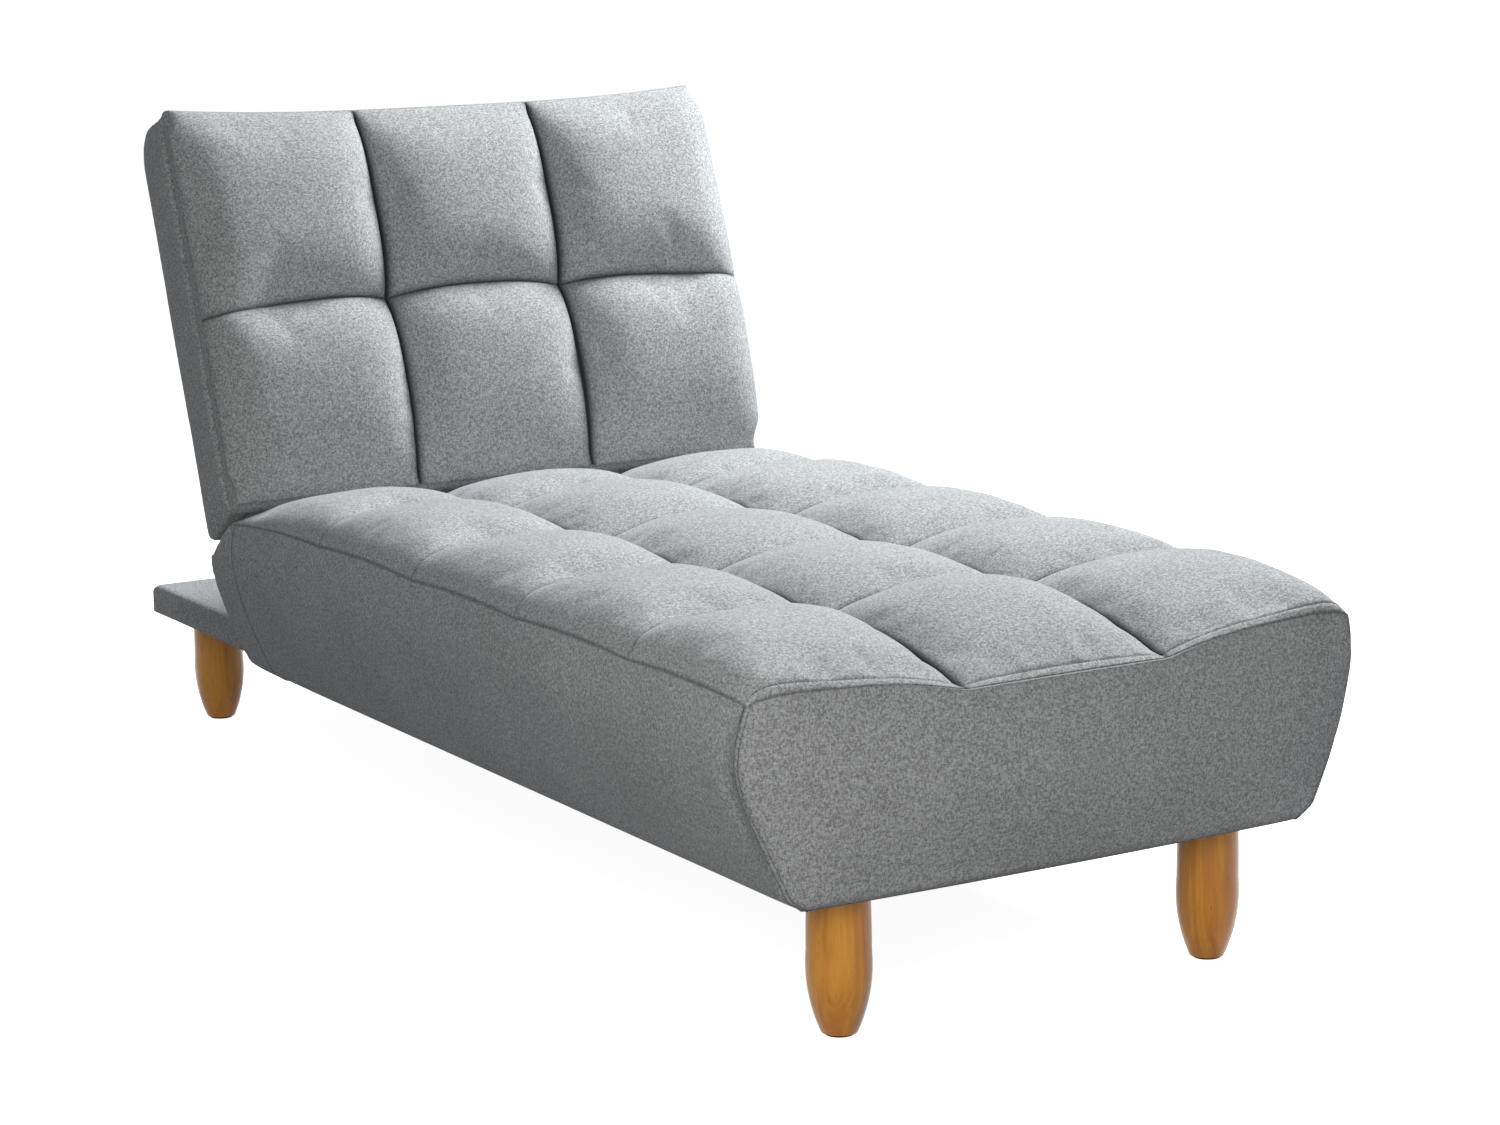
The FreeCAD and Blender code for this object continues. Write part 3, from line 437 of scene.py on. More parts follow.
def closed_panel(name, outer, inner, seam):
    """A panel with an outer and an inner skin of the same layout, joined round the rim."""
    rows, columns = outer.shape[:2]
    count = rows * columns
    faces = [grid_faces(rows, columns), grid_faces(rows, columns, count, True)]
    edge, back = rim(rows, columns), rim(rows, columns, count)
    sides = np.stack([edge, np.roll(edge, -1), np.roll(back, -1), back], -1)[:, ::-1]
    vertices = np.concatenate([outer.reshape(-1, 3), inner.reshape(-1, 3)])
    made = new_object(name, vertices, np.concatenate(faces + [sides]), "melange_cover")
    # The outer skin carries the painted shade given in seam; the inner skin none.
    mark(made, "seam", np.concatenate([seam.ravel(), np.zeros(count)]))
    return outward(made)


def applied(made):
    """Bakes an object's modifiers into its mesh."""
    graph = bpy.context.evaluated_depsgraph_get()
    mesh = bpy.data.meshes.new_from_object(made.evaluated_get(graph))
    made.modifiers.clear()
    old = made.data
    made.data = mesh
    bpy.data.meshes.remove(old)
    return made


def modified(made, kind, **settings):
    """Changes an object's mesh by one modifier."""
    put(made.modifiers.new(kind, kind), **settings)
    return applied(made)


def coordinates(mesh):
    found = np.empty(len(mesh.vertices) * 3)
    mesh.vertices.foreach_get("co", found)
    return found.reshape(-1, 3)


def set_coordinates(mesh, points):
    mesh.vertices.foreach_set("co", points.ravel())
    mesh.update()


# Tufted pads

GRID_STEP = 0.0075
EVEN_STEPS = 24
WADDING_CLIMB = (0.011, 0.007, 0.009)  # from the sides, the foot and the rear
WADDING_REACH = 0.055
CORNER_REACH = (0.06, 0.075)  # across and along
SHADE_X, SHADE_Y = (0.0038, 0.0018), (0.0028, 0.0014)  # widths of the painted seam shade after a seam and before the next


def tuft_pull(away):
    """Share of the tuft's depth at a distance from its seam: a soft roll and a tight crease."""
    return 0.7 * math.exp(-away / 0.009) + 0.6 * math.exp(-away / 0.0022)


@dataclass
class Tufting:
    """The seams of a pad and the pillows between them, over (across, along)."""

    half: float  # half the pad's width
    seams: list  # where the cross seams lie along the pad
    profiles: dict  # by line along the pad: heights at the cross seams, rises between them
    bow: float  # how far an inner cross seam bows over the whole width
    fullness: float  # extra crown of each pillow
    depths: tuple  # how far the long seams and the cross seams are pulled in
    powers: tuple  # how square a pillow is towards the pad's side and towards a long seam
    wadding: tuple  # fullness near the sides, the foot and the rear
    corner: float  # more of it in the foot corners
    bridge: float  # fullness over the ends of the cross seams
    fades: tuple  # how much depth and painted shade a cross seam loses at the sides
    arc: float = 0.0  # how far an inner cross seam bows over one pillow
    arch: float = 2.0  # how square a pillow is along the pad

    @property
    def column(self):
        return 2 * self.half / 3

    def along(self, row, x):
        """Where a cross seam lies; the first and last are straight."""
        if row in (0, len(self.seams) - 1):
            return self.seams[row]
        share = (x + self.half) / self.column % 1.0
        bowed = self.bow * (0.5 - (x / self.half) ** 2)
        return self.seams[row] + bowed + self.arc * 4 * share * (1 - share)

    def edge(self, line, row, share):
        """Height along a line of the pad: an arch between seams, plain by the first seam."""
        ends, rises = self.profiles[line]
        arch = 2.0 if row == 0 and share < 0.5 else self.arch
        bend = 1 - abs(2 * share - 1) ** arch
        return ends[row] * (1 - share) + ends[row + 1] * share + rises[row] * bend

    def outermost(self, c, a):
        """Whether a place in a column, from -1 to 1, is on the pad's side of an outer column."""
        return (c == 0 and a < 0) or (c == 2 and a > 0)

    def form(self, row, t, c, s):
        """Lift of the pillow over its seams, before wadding and tufting."""
        left = self.edge("edge" if c == 0 else "seam", row, t)
        right = self.edge("edge" if c == 2 else "seam", row, t)
        crown = self.edge("middle" if c == 1 else "crown", row, t)
        a = 2 * s - 1
        power = self.powers[0] if self.outermost(c, a) else self.powers[1]
        return left * (1 - s) + right * s + (crown - (left + right) / 2) * (1 - abs(a) ** power)

    def grid(self, shares_x, shares_y):
        """Rows of (x, along, lift, painted seam shade, held), with the stations of rows and columns."""
        rows = range(len(self.seams) - 1)
        cells_x = [(c, s) for c in range(3) for s in shares_x] + [(2, 1.0)]
        cells_y = [(row, t) for row in rows for t in shares_y(row)] + [(rows[-1], 1.0)]
        found = np.array([[self.point(row, t, c, s) for c, s in cells_x] for row, t in cells_y])
        return found, [row + t for row, t in cells_y], [c + s for c, s in cells_x]

    def even_grid(self):
        """The grid at even steps, for the simulation."""
        shares = np.arange(EVEN_STEPS) / EVEN_STEPS
        return self.grid(shares, lambda row: shares)

    def fine_grid(self, first_fine):
        """The grid with fine steps beside the seams, and others beside the first one."""
        def shares_y(row):
            pitch = self.seams[row + 1] - self.seams[row]
            fine = first_fine if row == 0 else PILLOW_FINE
            return clustered(pitch, fine, GRID_STEP, PILLOW_FINE)[:-1] / pitch

        return self.grid(clustered(self.column, PILLOW_FINE, GRID_STEP)[:-1] / self.column, shares_y)

    def point(self, row, t, c, s):
        x = -self.half + (c + s) * self.column
        low, high = self.along(row, x), self.along(row + 1, x)
        y = low + (high - low) * t
        a, b = 2 * s - 1, 2 * t - 1
        by_side = self.outermost(c, a)
        by_end = (row == 0 and t < 0.5) or (row == len(self.seams) - 2 and t >= 0.5)
        away_x, away_y = min(s, 1 - s) * self.column, min(t, 1 - t) * (high - low)
        borders = from_side, from_foot, from_rear = (
            self.half - abs(x), y - self.seams[0], self.seams[-1] - y)
        lift = self.form(row, t, c, s) + self.fullness * (1 - abs(a) ** 3) * (1 - abs(b) ** 3)
        side, foot, rear = (
            amount * (1 - math.exp(-away / climb)) * math.exp(-away / WADDING_REACH)
            for amount, away, climb in zip(self.wadding, borders, WADDING_CLIMB)
        )
        ends = min(1.0, from_foot / 0.02, from_rear / 0.02)
        lift += side * max(0.0, ends) ** 0.5 + (foot + rear) * (1 - abs(a) ** 4)
        near_side = 1 - smooth_step(from_side, 0.01, 0.09)
        climb_x = 1 - math.exp(-from_side / WADDING_CLIMB[0])
        reach = math.exp(-from_side / CORNER_REACH[0] - from_foot / CORNER_REACH[1])
        lift += self.corner * ((1 - math.exp(-from_foot / 0.008)) * climb_x) * reach
        if not by_end:
            lift += self.bridge * near_side * b * b * climb_x
        # pull is the tuft's real depth; shade is painted shade darkening the cloth in the seam creases
        pull_x, pull_y, shade_x, shade_y = 0.0, 0.0, 0.0, 0.0
        faded, shaded = (1 - fade * near_side for fade in self.fades)
        if not by_side:
            pull_x = self.depths[0] * tuft_pull(away_x)
            pull_x *= smooth_step(min(from_foot, from_rear), 0.0, 0.018)
            shade_x = min(1.0, 1.6 * math.exp(-away_x / SHADE_X[int(s >= 0.5)]))
        if not by_end:
            pull_y = self.depths[1] * tuft_pull(away_y) * faded
            shade_y = 0.9 * shaded * math.exp(-away_y / SHADE_Y[int(t >= 0.5)])
        held = float(away_x < 1e-6 or away_y < 1e-6)
        return x, y, lift - max(pull_x, pull_y), max(shade_x, shade_y), held


def pad_shell(name, surface, base, swell, underside=True):
    """A pad: the tufted surface, a skirt of four bands and, if wanted, a flat underside."""
    rows, columns = surface.shape[:2]
    edge = rim(rows, columns)
    border, foot = surface.reshape(-1, 3)[edge], base.reshape(-1, 3)[edge]
    tangent = np.roll(border, -1, axis=0) - np.roll(border, 1, axis=0)
    away = np.cross(tangent, (foot - border).mean(axis=0))
    away /= np.linalg.norm(away, axis=1, keepdims=True)
    away *= np.sign(((border - border.mean(axis=0)) * away).sum(axis=1))[:, None]
    rings = [border + (foot - border) * share + away * swell * math.sin(math.pi * share)
             for share in (0.2, 0.45, 0.75)] + [foot]
    faces = [tuple(f) for f in grid_faces(rows, columns)]
    last = edge
    for number in range(len(rings)):
        ring = np.arange(len(edge)) + rows * columns + number * len(edge)
        faces += [(b, a, d, c) for a, b, c, d in zip(last, np.roll(last, -1), np.roll(ring, -1), ring)]
        last = ring
    parts = [surface.reshape(-1, 3)] + rings + [foot.mean(axis=0)[None]] * underside
    vertices = np.concatenate(parts)
    if underside:
        centre = len(vertices) - 1
        faces += [(b, a, centre) for a, b in zip(last, np.roll(last, -1))]
    return outward(new_object(name, vertices, faces))


def tufted_cover(name, tufting, place, base, swell=0.0, first_fine=PILLOW_FINE):
    """A tufted pad. place gives the surface, painted seam shade and held points of a grid."""
    found, rows_at, columns_at = tufting.fine_grid(first_fine)
    surface, shade, held = place(found)
    coarse, coarse_rows, coarse_columns = tufting.even_grid()
    start, _, coarse_held = place(coarse)
    moved = filled_out(start, coarse_held, base(coarse))
    moved = spread(spread(moved, coarse_rows, rows_at), coarse_columns, columns_at, 1)
    along = found[..., 1]
    inward = np.minimum(tufting.half - abs(found[..., 0]), np.minimum(
        along - tufting.seams[0], tufting.seams[-1] - along))
    surface = surface + moved * ((1 - held) * smooth_step(inward, 0.0, 0.04))[..., None]
    made = pad_shell(name, surface, base(found), swell, underside=False)
    made.data.materials.append(material("melange_cover"))
    skirt = len(made.data.vertices) - held.size
    # painted seam shade on the cover, none on the skirt
    mark(made, "seam", np.concatenate([shade.ravel(), np.zeros(skirt)]))
    crease_lines(made, held > 0.5)
    return outward(modified(made, "SUBSURF", levels=1, render_levels=1), fill=True)


def spread(field, known, wanted, axis=0):
    """Reads a field between its known stations along one axis."""
    place = np.interp(wanted, known, np.arange(len(known)))
    low = np.minimum(place.astype(int), len(known) - 2)
    share = (place - low).reshape((-1, 1, 1) if axis == 0 else (1, -1, 1))
    return np.take(field, low, axis) * (1 - share) + np.take(field, low + 1, axis) * share


def filled_out(surface, held, base):
    """Runs the cover as cloth over its wadding and gives how far each point moves."""
    size = sizes()
    scene = bpy.context.scene
    made = pad_shell("cover_trial", surface, base, 0.0)
    start = coordinates(made.data)
    pinned = np.ones(len(start), bool)
    pinned[:held.size] = held.ravel() > 0.5
    group = made.vertex_groups.new(name="held")
    group.add([int(i) for i in np.flatnonzero(pinned)], 1.0, "REPLACE")
    cloth = made.modifiers.new("Cover", "CLOTH")
    put(cloth.settings, quality=5, mass=0.25, tension_stiffness=18, compression_stiffness=18,
        shear_stiffness=8, bending_stiffness=0.4, vertex_group_mass="held", use_pressure=True,
        uniform_pressure_force=size.cloth_pressure, shrink_min=-size.cloth_excess, air_damping=2.0)
    cloth.settings.effector_weights.gravity = 0
    put(cloth.point_cache, frame_start=1, frame_end=size.cloth_frames)
    for frame_number in range(1, size.cloth_frames + 1):
        scene.frame_set(frame_number)
    applied(made)
    scene.frame_set(1)
    moved = (coordinates(made.data) - start)[:held.size]
    far = np.linalg.norm(moved, axis=1, keepdims=True)
    moved *= np.minimum(1.0, size.cloth_reach / np.maximum(far, 1e-9))
    mesh = made.data
    bpy.data.objects.remove(made)
    bpy.data.meshes.remove(mesh)
    return moved.reshape(surface.shape)


def crease_lines(made, held):
    """Keeps the seams between the pillows sharp through the subdivision."""
    rows, columns = held.shape
    row_held, column_held = (held.mean(axis=axis) > 0.99 for axis in (1, 0))
    sharp = []
    for edge in made.data.edges:
        (i, j), (k, m) = (divmod(vertex, columns) for vertex in edge.vertices)
        across = i == k and 0 < i < rows - 1 and row_held[i]
        along = j == m and 0 < j < columns - 1 and column_held[j] and max(i, k) < rows
        sharp.append(float(across or along))
    made.data.attributes.new("crease_edge", "FLOAT", "EDGE").data.foreach_set("value", sharp)


# The seat's outside form

SKIN_STEP = 0.0065
SEAM_GAP = 0.0004  # from the pad's seam down to the panels


def box_share(z):
    """Height up the seat box: 0 at its underside, 1 at its seam."""
    return (np.asarray(z, float) - UNDERSIDE) / (SEAT_SEAM - UNDERSIDE)


def half_width(z):
    """Half the seat's outside width: rounded heel, sloping side, drawn-in seam."""
    z = np.asarray(z, float)
    heel_rise = 0.013
    base, heel, bulge = SEAM_HALF - 0.058, SEAM_HALF - 0.040, SEAM_HALF + 0.007
    heel_z, bulge_z = UNDERSIDE + heel_rise, SEAT_SEAM - 0.048
    low = base + (heel - base) * (z - UNDERSIDE) / heel_rise
    middle = bulge - (bulge - heel) * np.clip((bulge_z - z) / (bulge_z - heel_z), 0, 1) ** 1.5
    high = bulge - 0.007 * np.clip((z - bulge_z) / (SEAT_SEAM - bulge_z), 0, 1) ** 2
    return np.where(z <= heel_z, low, np.where(z <= bulge_z, middle, high))


def foot_bow(x, half, z):
    """How far the foot panel bows out, most in its middle and at half height."""
    crown = 0.006 + 0.019 * np.sin(np.pi * np.clip(box_share(z), 0, 1))
    return crown * (1 - np.clip(x / half, -1, 1) ** 2)


def inner_half(z):
    """Half the width inside the side panels."""
    low, high = half_width(UNDERSIDE) - 0.024, half_width(PAD_BASE) - 0.024
    return low + (high - low) * (np.asarray(z, float) - UNDERSIDE) / (PAD_BASE - UNDERSIDE)


def seat_tufting():
    size = sizes()
    pitch = (Y_REAR_SEAM - Y_FOOT) / 5
    return Tufting(
        half=SEAM_HALF, seams=[Y_FOOT + row * pitch for row in range(6)],
        profiles={
            "edge": ([-0.004, 0, 0, 0, 0, -0.012], [0.004] * 5),
            "seam": ([-0.017] + [0.008] * 4 + [-0.015], [0.016] + [0.011] * 4),
            "crown": ([0.000] + [0.028] * 4 + [-0.012], [0.024] + [0.014] * 3 + [0.019]),
            "middle": ([-0.0165] + [0.028] * 4 + [-0.012], [0.033] + [0.014] * 3 + [0.019]),
        },
        bow=size.tuft_bow, fullness=size.pillow_fullness,
        depths=(size.tuft_depth, size.cross_depth), powers=(5.0, 2.1),
        wadding=(size.edge_wadding, size.edge_wadding * 0.5, 0.0),
        corner=0.015, bridge=0.0040, fades=(0.75, 0.45),
    )


def side_seam_height(y):
    """Height of the side seam along the seat, in step with the pillows."""
    tufting = seat_tufting()
    seams = [tufting.along(row, SEAM_HALF) for row in range(6)]
    row = int(np.clip(np.searchsorted(seams, y, side="right") - 1, 0, 4))
    share = np.clip((y - seams[row]) / (seams[row + 1] - seams[row]), 0, 1)
    return SEAT_SEAM + tufting.edge("edge", row, float(share))


def foot_seam_height(x):
    """Height of the foot seam across the seat: it dips where the long seams end."""
    tufting = seat_tufting()
    place = float(np.clip((x + SEAM_HALF) / tufting.column, 0, 2.9999))
    return SEAT_SEAM + tufting.form(0, 0.0, int(place), place - int(place))


def eased_corner(points, half):
    """Rounds the two upright foot corners of the seat a little."""
    x, y, z = np.moveaxis(points, -1, 0)
    side = np.maximum(half - abs(x), 0)
    foot = np.maximum(y - (Y_FOOT - foot_bow(x, half, z)), 0)
    shift = fading(0.002, side + foot, 0.013)
    return np.stack([x - np.sign(x) * shift, y + shift, z], -1)


def corner_wrap(z):
    """How far the foot panel is drawn round each corner: most above half height."""
    height = box_share(z)
    return sizes().corner_wrap * bell(height, 0.62, 0.24) * smooth_step(1 - height, 0.0, 0.15)


def seat_skin(run, z):
    """x and y of the seat's skin, by its run from the corner's joint.

    The run is positive over the foot panel and negative back along the side.
    """
    half, wrap = half_width(z), corner_wrap(z)
    run = run - wrap * np.exp(-abs(run) / 0.06)
    radius = 0.003 + 0.5 * wrap
    turn = np.clip((run + radius) / (2 * radius), 0, 1) * math.pi / 2
    x = half - np.maximum(run - radius, 0) - radius * (1 - np.cos(turn))
    back = np.maximum(-run - radius, 0) + radius * (1 - np.sin(turn))
    return x, Y_FOOT + back - foot_bow(x, half, z)


def hanging(seam_heights, reach):
    """Heights of a panel's points under its seam, and how far down and up each one is."""
    top = np.array(seam_heights) - SEAM_GAP
    fall = clustered(reach, SEAM_FINE, SKIN_STEP)
    z = top + (UNDERSIDE + 0.0002 - top) * (fall / fall[-1])[:, None]
    return z, top - z, z - UNDERSIDE


# Operators

def dress(made, body, node):
    """Has a soft piece ride on a body in place of its construction solid."""
    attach(made, body)
    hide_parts(node)


def drawn_in(x):
    """Keeps a pad's border seam a little inside its panels."""
    return x * (SEAM_HALF - 0.0008) / SEAM_HALF


class RECAMIER_OT_seat_pad(bpy.types.Operator):
    """Make the tufted seat pad"""

    bl_idname = "recamier.seat_pad"
    bl_label = "Seat pad"

    def place(self, found):
        x, y, lift, shade, held = np.moveaxis(found.copy(), -1, 0)
        foot = y - Y_FOOT
        front = fading(1, foot, 0.02) * foot_bow(x, SEAM_HALF, SEAT_SEAM)
        surface = np.stack([drawn_in(x), y - front, SEAT_SEAM + lift], -1)
        normal = grid_normals(surface)
        calm = (1 - held) * smooth_step(foot, 0.006, 0.016)
        flutter = ripple(surface, (0.05, 0.035, 0.05)) * 0.0010
        flutter += ripple(surface, (0.12, 0.1, 0.1), 3) * 0.0018
        gather = ripple(surface * (1, 0.3, 0.3), (0.016, 0.03, 0.03), 8) * 0.0026
        gather *= bell(foot, 0.014, 0.02) * smooth_step(foot, 0.006, 0.010)
        pucker = ripple(surface, (0.007, 0.2, 0.2), 5) * 0.0006 * bell(foot, 0.003, 0.002)
        surface += normal * (flutter * calm + gather + pucker)[..., None]
        offset = sizes().stitch_offset
        stitched = int(np.argmin(abs(foot[:, 0] - offset)))
        fine = foot[1, 0] < offset
        if fine:
            surface[stitched] -= normal[stitched] * 0.0009
            held[stitched] = 1.0
            # painted shade in the topstitch groove
            shade[stitched] = np.maximum(shade[stitched], 0.35)
        surface = eased_corner(surface, SEAM_HALF)
        if fine:
            self.stitch_line = surface[stitched, 4:-4]
        # Painted shade along the foot seam and the side seams.
        shade[0] = np.maximum(shade[0], 0.6)
        shade[:, [0, -1]] = np.maximum(shade[:, [0, -1]], 0.6)
        return surface, shade, held

    def base(self, found):
        x, y = found[..., 0], found[..., 1]
        inset = 0.004 * (1 - smooth_step(y, Y_ROLL - 0.03, Y_ROLL))
        return np.stack([x - np.sign(x) * inset * (abs(x) > SEAM_HALF - 0.001),
                         np.maximum(y, Y_FOOT + 0.003), np.full_like(x, PAD_BASE + 0.0003)], -1)

    def execute(self, context):
        pad = tufted_cover("seat_pad_cover", seat_tufting(), self.place, self.base,
                           first_fine=STITCHED_FINE)
        topstitch("seat_foot_topstitch", [self.stitch_line], (0, -0.7, 0.7))
        dress(pad, "base", "seat_pad")
        return {"FINISHED"}


class RECAMIER_OT_seat_sides(bpy.types.Operator):
    """Make the two side panels of the seat"""

    bl_idname = "recamier.seat_sides"
    bl_label = "Seat side panels"

    def execute(self, context):
        evenly = Y_FOOT + 0.029
        along = np.concatenate([
            Y_FOOT + np.array(SEAM_FINE),
            np.linspace(evenly, Y_ROLL, int((Y_ROLL - evenly) / SKIN_STEP) + 1),
        ])
        z, down, up = hanging([side_seam_height(y) for y in along], 0.2035)
        height, front = box_share(z), np.repeat(along[None, :], len(z), 0) - Y_FOOT
        x, y = seat_skin(-front, z)
        x = x - fading(sizes().side_seam_roll, down) - fading(0.004, up, 0.004)
        x = x - sizes().corner_pinch * bell(front, 0.020, 0.015) * bell(height, 0.60, 0.28)
        x = x - fading(0.0012, front, 0.003)
        points = np.stack([x, y, z], -1)
        wave = ripple(points, (0.2, 0.16, 0.11)) * 0.0022
        pull = ripple(points * (1, 1, 0.35), (0.2, 0.024, 0.05), 5) * 0.0011 * fading(1, down, 0.035)
        calm = smooth_step(down, 0, 0.012) * smooth_step(up, 0, 0.02) * smooth_step(front, 0, 0.02)
        x = x + (wave + pull) * calm * (1 - smooth_step(y, Y_ROLL - 0.05, Y_ROLL))
        outer = eased_corner(np.stack([x, y, z], -1), half_width(z))
        thick = np.minimum(0.0035, x - (SEAM_HALF - 0.0048))
        lip = np.where(z > PAD_BASE - 0.001, x - np.maximum(thick, 0.0015), inner_half(z) + 0.0004)
        mitre = np.maximum(y, Y_FOOT + (half_width(z) - lip) * 0.98)
        inner = np.stack([lip, np.minimum(mitre, Y_ROLL), z], -1)
        # Painted shade: in the top seam, along the underside edge, in the corner seam and in the fold
        # beside the corner.
        shade = np.maximum.reduce([
            fading(0.6, down, 0.0010), fading(0.8, up, 0.0025), fading(0.9, front, 0.0012),
            0.35 * (bell(front, 0.010, 0.018) * bell(height, 0.48, 0.27)),
        ])
        for side, name in ((1, "right"), (-1, "left")):
            flip = np.array([side, 1, 1])
            panel = closed_panel("seat_side_cover_" + name, outer * flip, inner * flip, shade)
            dress(panel, "base", "seat_side_panel_" + name)
        return {"FINISHED"}


class RECAMIER_OT_seat_front(bpy.types.Operator):
    """Make the foot panel with its topstitching"""

    bl_idname = "recamier.seat_front"
    bl_label = "Foot panel"

    def execute(self, context):
        offset = sizes().stitch_offset
        across = clustered(2 * SEAM_HALF, SEAM_FINE, SKIN_STEP) / SEAM_HALF - 1
        z, down, up = hanging([foot_seam_height(v * SEAM_HALF) for v in across], 0.196)
        s = np.repeat(across[None, :], len(z), 0)
        corner = (1 - abs(s)) * half_width(z)
        groove = bell(corner, offset, 0.0011)
        x, y = seat_skin(corner, z)
        outer = np.stack([x * np.sign(s), y, z], -1)
        turn = fading(0.0006, down, 0.004) + fading(0.004, up, 0.004) + fading(0.0012, corner, 0.003)
        turn += 0.0011 * groove
        wave = ripple(outer, (0.16, 0.2, 0.10), 9) * 0.002
        pucker = ripple(outer, (0.012, 0.2, 0.06), 2) * 0.0006 * fading(1, down, 0.014)
        pucker += ripple(outer, (0.2, 0.2, 0.014), 4) * 0.0008 * fading(1, corner, 0.016)
        inward = smooth_step(np.minimum(down, corner), 0, 0.01)
        turn -= (wave + pucker) * inward * smooth_step(up, 0, 0.02)
        outer[..., 1] += turn
        outer = eased_corner(outer, half_width(z))
        lip = np.where(z > PAD_BASE - 0.001, Y_FOOT - 0.0005, Y_FOOT + 0.0236)
        inner = np.stack([s * (half_width(z) - np.maximum(lip - Y_FOOT, 0.001)), lip, z], -1)
        inner[..., 1] = np.maximum(inner[..., 1], outer[..., 1] + 0.0012)
        # Painted shade: in the top seam, along the underside edge, in the corner seams, beside the
        # corners and in the topstitch groove.
        shade = np.maximum.reduce([
            fading(0.45, down, 0.0010), fading(0.8, up, 0.0025), fading(0.9, corner, 0.0014),
            0.25 * (fading(1, corner, 0.014) * bell(box_share(z), 0.48, 0.27)), 0.45 * groove,
        ])
        panel = closed_panel("seat_front_cover", outer, inner, shade)
        dress(panel, "base", "seat_front_panel")
        half_row = corner[len(outer) // 2, :len(across) // 2]
        column = int(np.argmin(abs(half_row - offset)))
        topstitch("seat_corner_topstitch", [outer[6:-5, column], outer[6:-5, -1 - column]], (0, -1, 0))
        return {"FINISHED"}


THREAD = [(-1.0, 0.25), (-0.7, 0.85), (0.0, 1.0), (0.7, 0.85), (1.0, 0.25)]  # (along, radius)


def topstitch(name, lines, normal):
    """Short sunk threads along each line of points, riding on the seat."""
    pitch, thick = sizes().stitch_pitch, sizes().stitch_size
    half = pitch * 0.40
    along, radius = np.array(THREAD).T[:, :, None, None]
    angle = np.arange(6)[:, None] * math.pi / 3
    threads = []
    for line in lines:
        run = np.concatenate([[0], np.cumsum(np.linalg.norm(np.diff(line, axis=0), axis=1))])
        middle = (np.arange(int(run[-1] / pitch)) + 0.5) * pitch
        here, ahead = (np.stack([np.interp(at, run, line[:, k]) for k in range(3)], -1)[:, None, None]
                       for at in (middle, middle + half))
        direction = unit(ahead - here)
        side = unit(np.cross(direction, normal))
        rise = np.sin(angle) * radius * thick * 0.5 - (1 - radius) * thick * 0.4
        threads.append(here + direction * (along * half) + np.cross(side, direction) * rise
                       + side * (np.cos(angle) * radius * thick * 0.5))
    vertices = np.concatenate(threads).reshape(-1, 3)
    faces = [(k + m, k + (m + 1) % 6, k + (m + 1) % 6 + 6, k + m + 6)
             for k in range(0, 24, 6) for m in range(6)]
    faces += [(5, 4, 3, 2, 1, 0), (24, 25, 26, 27, 28, 29)]
    faces = [[start + i for i in face] for start in range(0, len(vertices), 30) for face in faces]
    made = outward(new_object(name, vertices, faces, "seam_thread"))
    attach(made, "base")


def node_copy(name, node, finish):
    """A copy of a construction solid in a finish of its own."""
    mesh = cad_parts[node].data.copy()
    mesh.materials.clear()
    mesh.materials.append(material(finish))
    return placed(name, mesh)


def padded_copy(name, node, finish, voxel, smooth, puff, swell=0.0, crisp=None):
    """A soft piece from its construction solid: evenly meshed, softened, lightly rumpled.

    crisp gives, for each point, how far it keeps its first place.
    """
    made = modified(node_copy(name, node, finish), "REMESH", mode="VOXEL", voxel_size=voxel,
                    use_smooth_shade=True)
    first = coordinates(made.data)
    mesh = modified(made, "SMOOTH", factor=0.5, iterations=smooth).data
    points = coordinates(mesh)
    share = np.zeros((len(points), 1)) if crisp is None else crisp(first)[:, None]
    points += (first - points) * share
    normals = np.empty(len(points) * 3)
    mesh.vertices.foreach_get("normal", normals)
    rumple = ripple(points, (0.14, 0.14, 0.1)) * puff
    rumple += ripple(points, (0.045, 0.05, 0.04), 7) * puff * 0.35
    points += normals.reshape(-1, 3) * (rumple + swell - puff * 0.6)[:, None] * (1 - share)
    set_coordinates(mesh, points)
    mesh.polygons.foreach_set("use_smooth", [True] * len(mesh.polygons))
    mark(made, "seam", np.zeros(len(points)))
    return made


class RECAMIER_OT_seat_rear(bpy.types.Operator):
    """Make the soft roll at the rear of the seat"""

    bl_idname = "recamier.seat_rear"
    bl_label = "Seat rear roll"

    def near_sides(self, points):
        """The roll keeps its form where it meets the side panels."""
        return 1 - smooth_step(points[:, 1], Y_ROLL + 0.004, Y_ROLL + 0.016)

    def execute(self, context):
        roll = padded_copy("seat_rear_cover", "seat_rear_panel", "melange_cover", 0.004, 4, 0.0008,
                           crisp=self.near_sides)
        dress(roll, "base", "seat_rear_panel")
        return {"FINISHED"}


# The backrest lies in its own frame: across, up the slope, to the rear

RECLINE = math.radians(19.56)
BACK_ORIGIN = Vector((0.0, Y_REAR_SEAM - 0.019, SEAT_SEAM + 0.026))
BACK_SEAMS = [-0.012, 0.209, 0.450]
BACK_FOAM_LOW = -0.020
BACK_PAD_REAR = 0.0217
BACK_PANELS_FRONT = 0.0222


def from_back_frame(points):
    """Points as (across, up, rear) in the backrest's frame, put in their place."""
    x, up, rear = points[..., 0], points[..., 1], points[..., 2]
    y = BACK_ORIGIN.y + math.sin(RECLINE) * up + math.cos(RECLINE) * rear
    z = BACK_ORIGIN.z + math.cos(RECLINE) * up - math.sin(RECLINE) * rear
    return np.stack([x, y, z], -1)


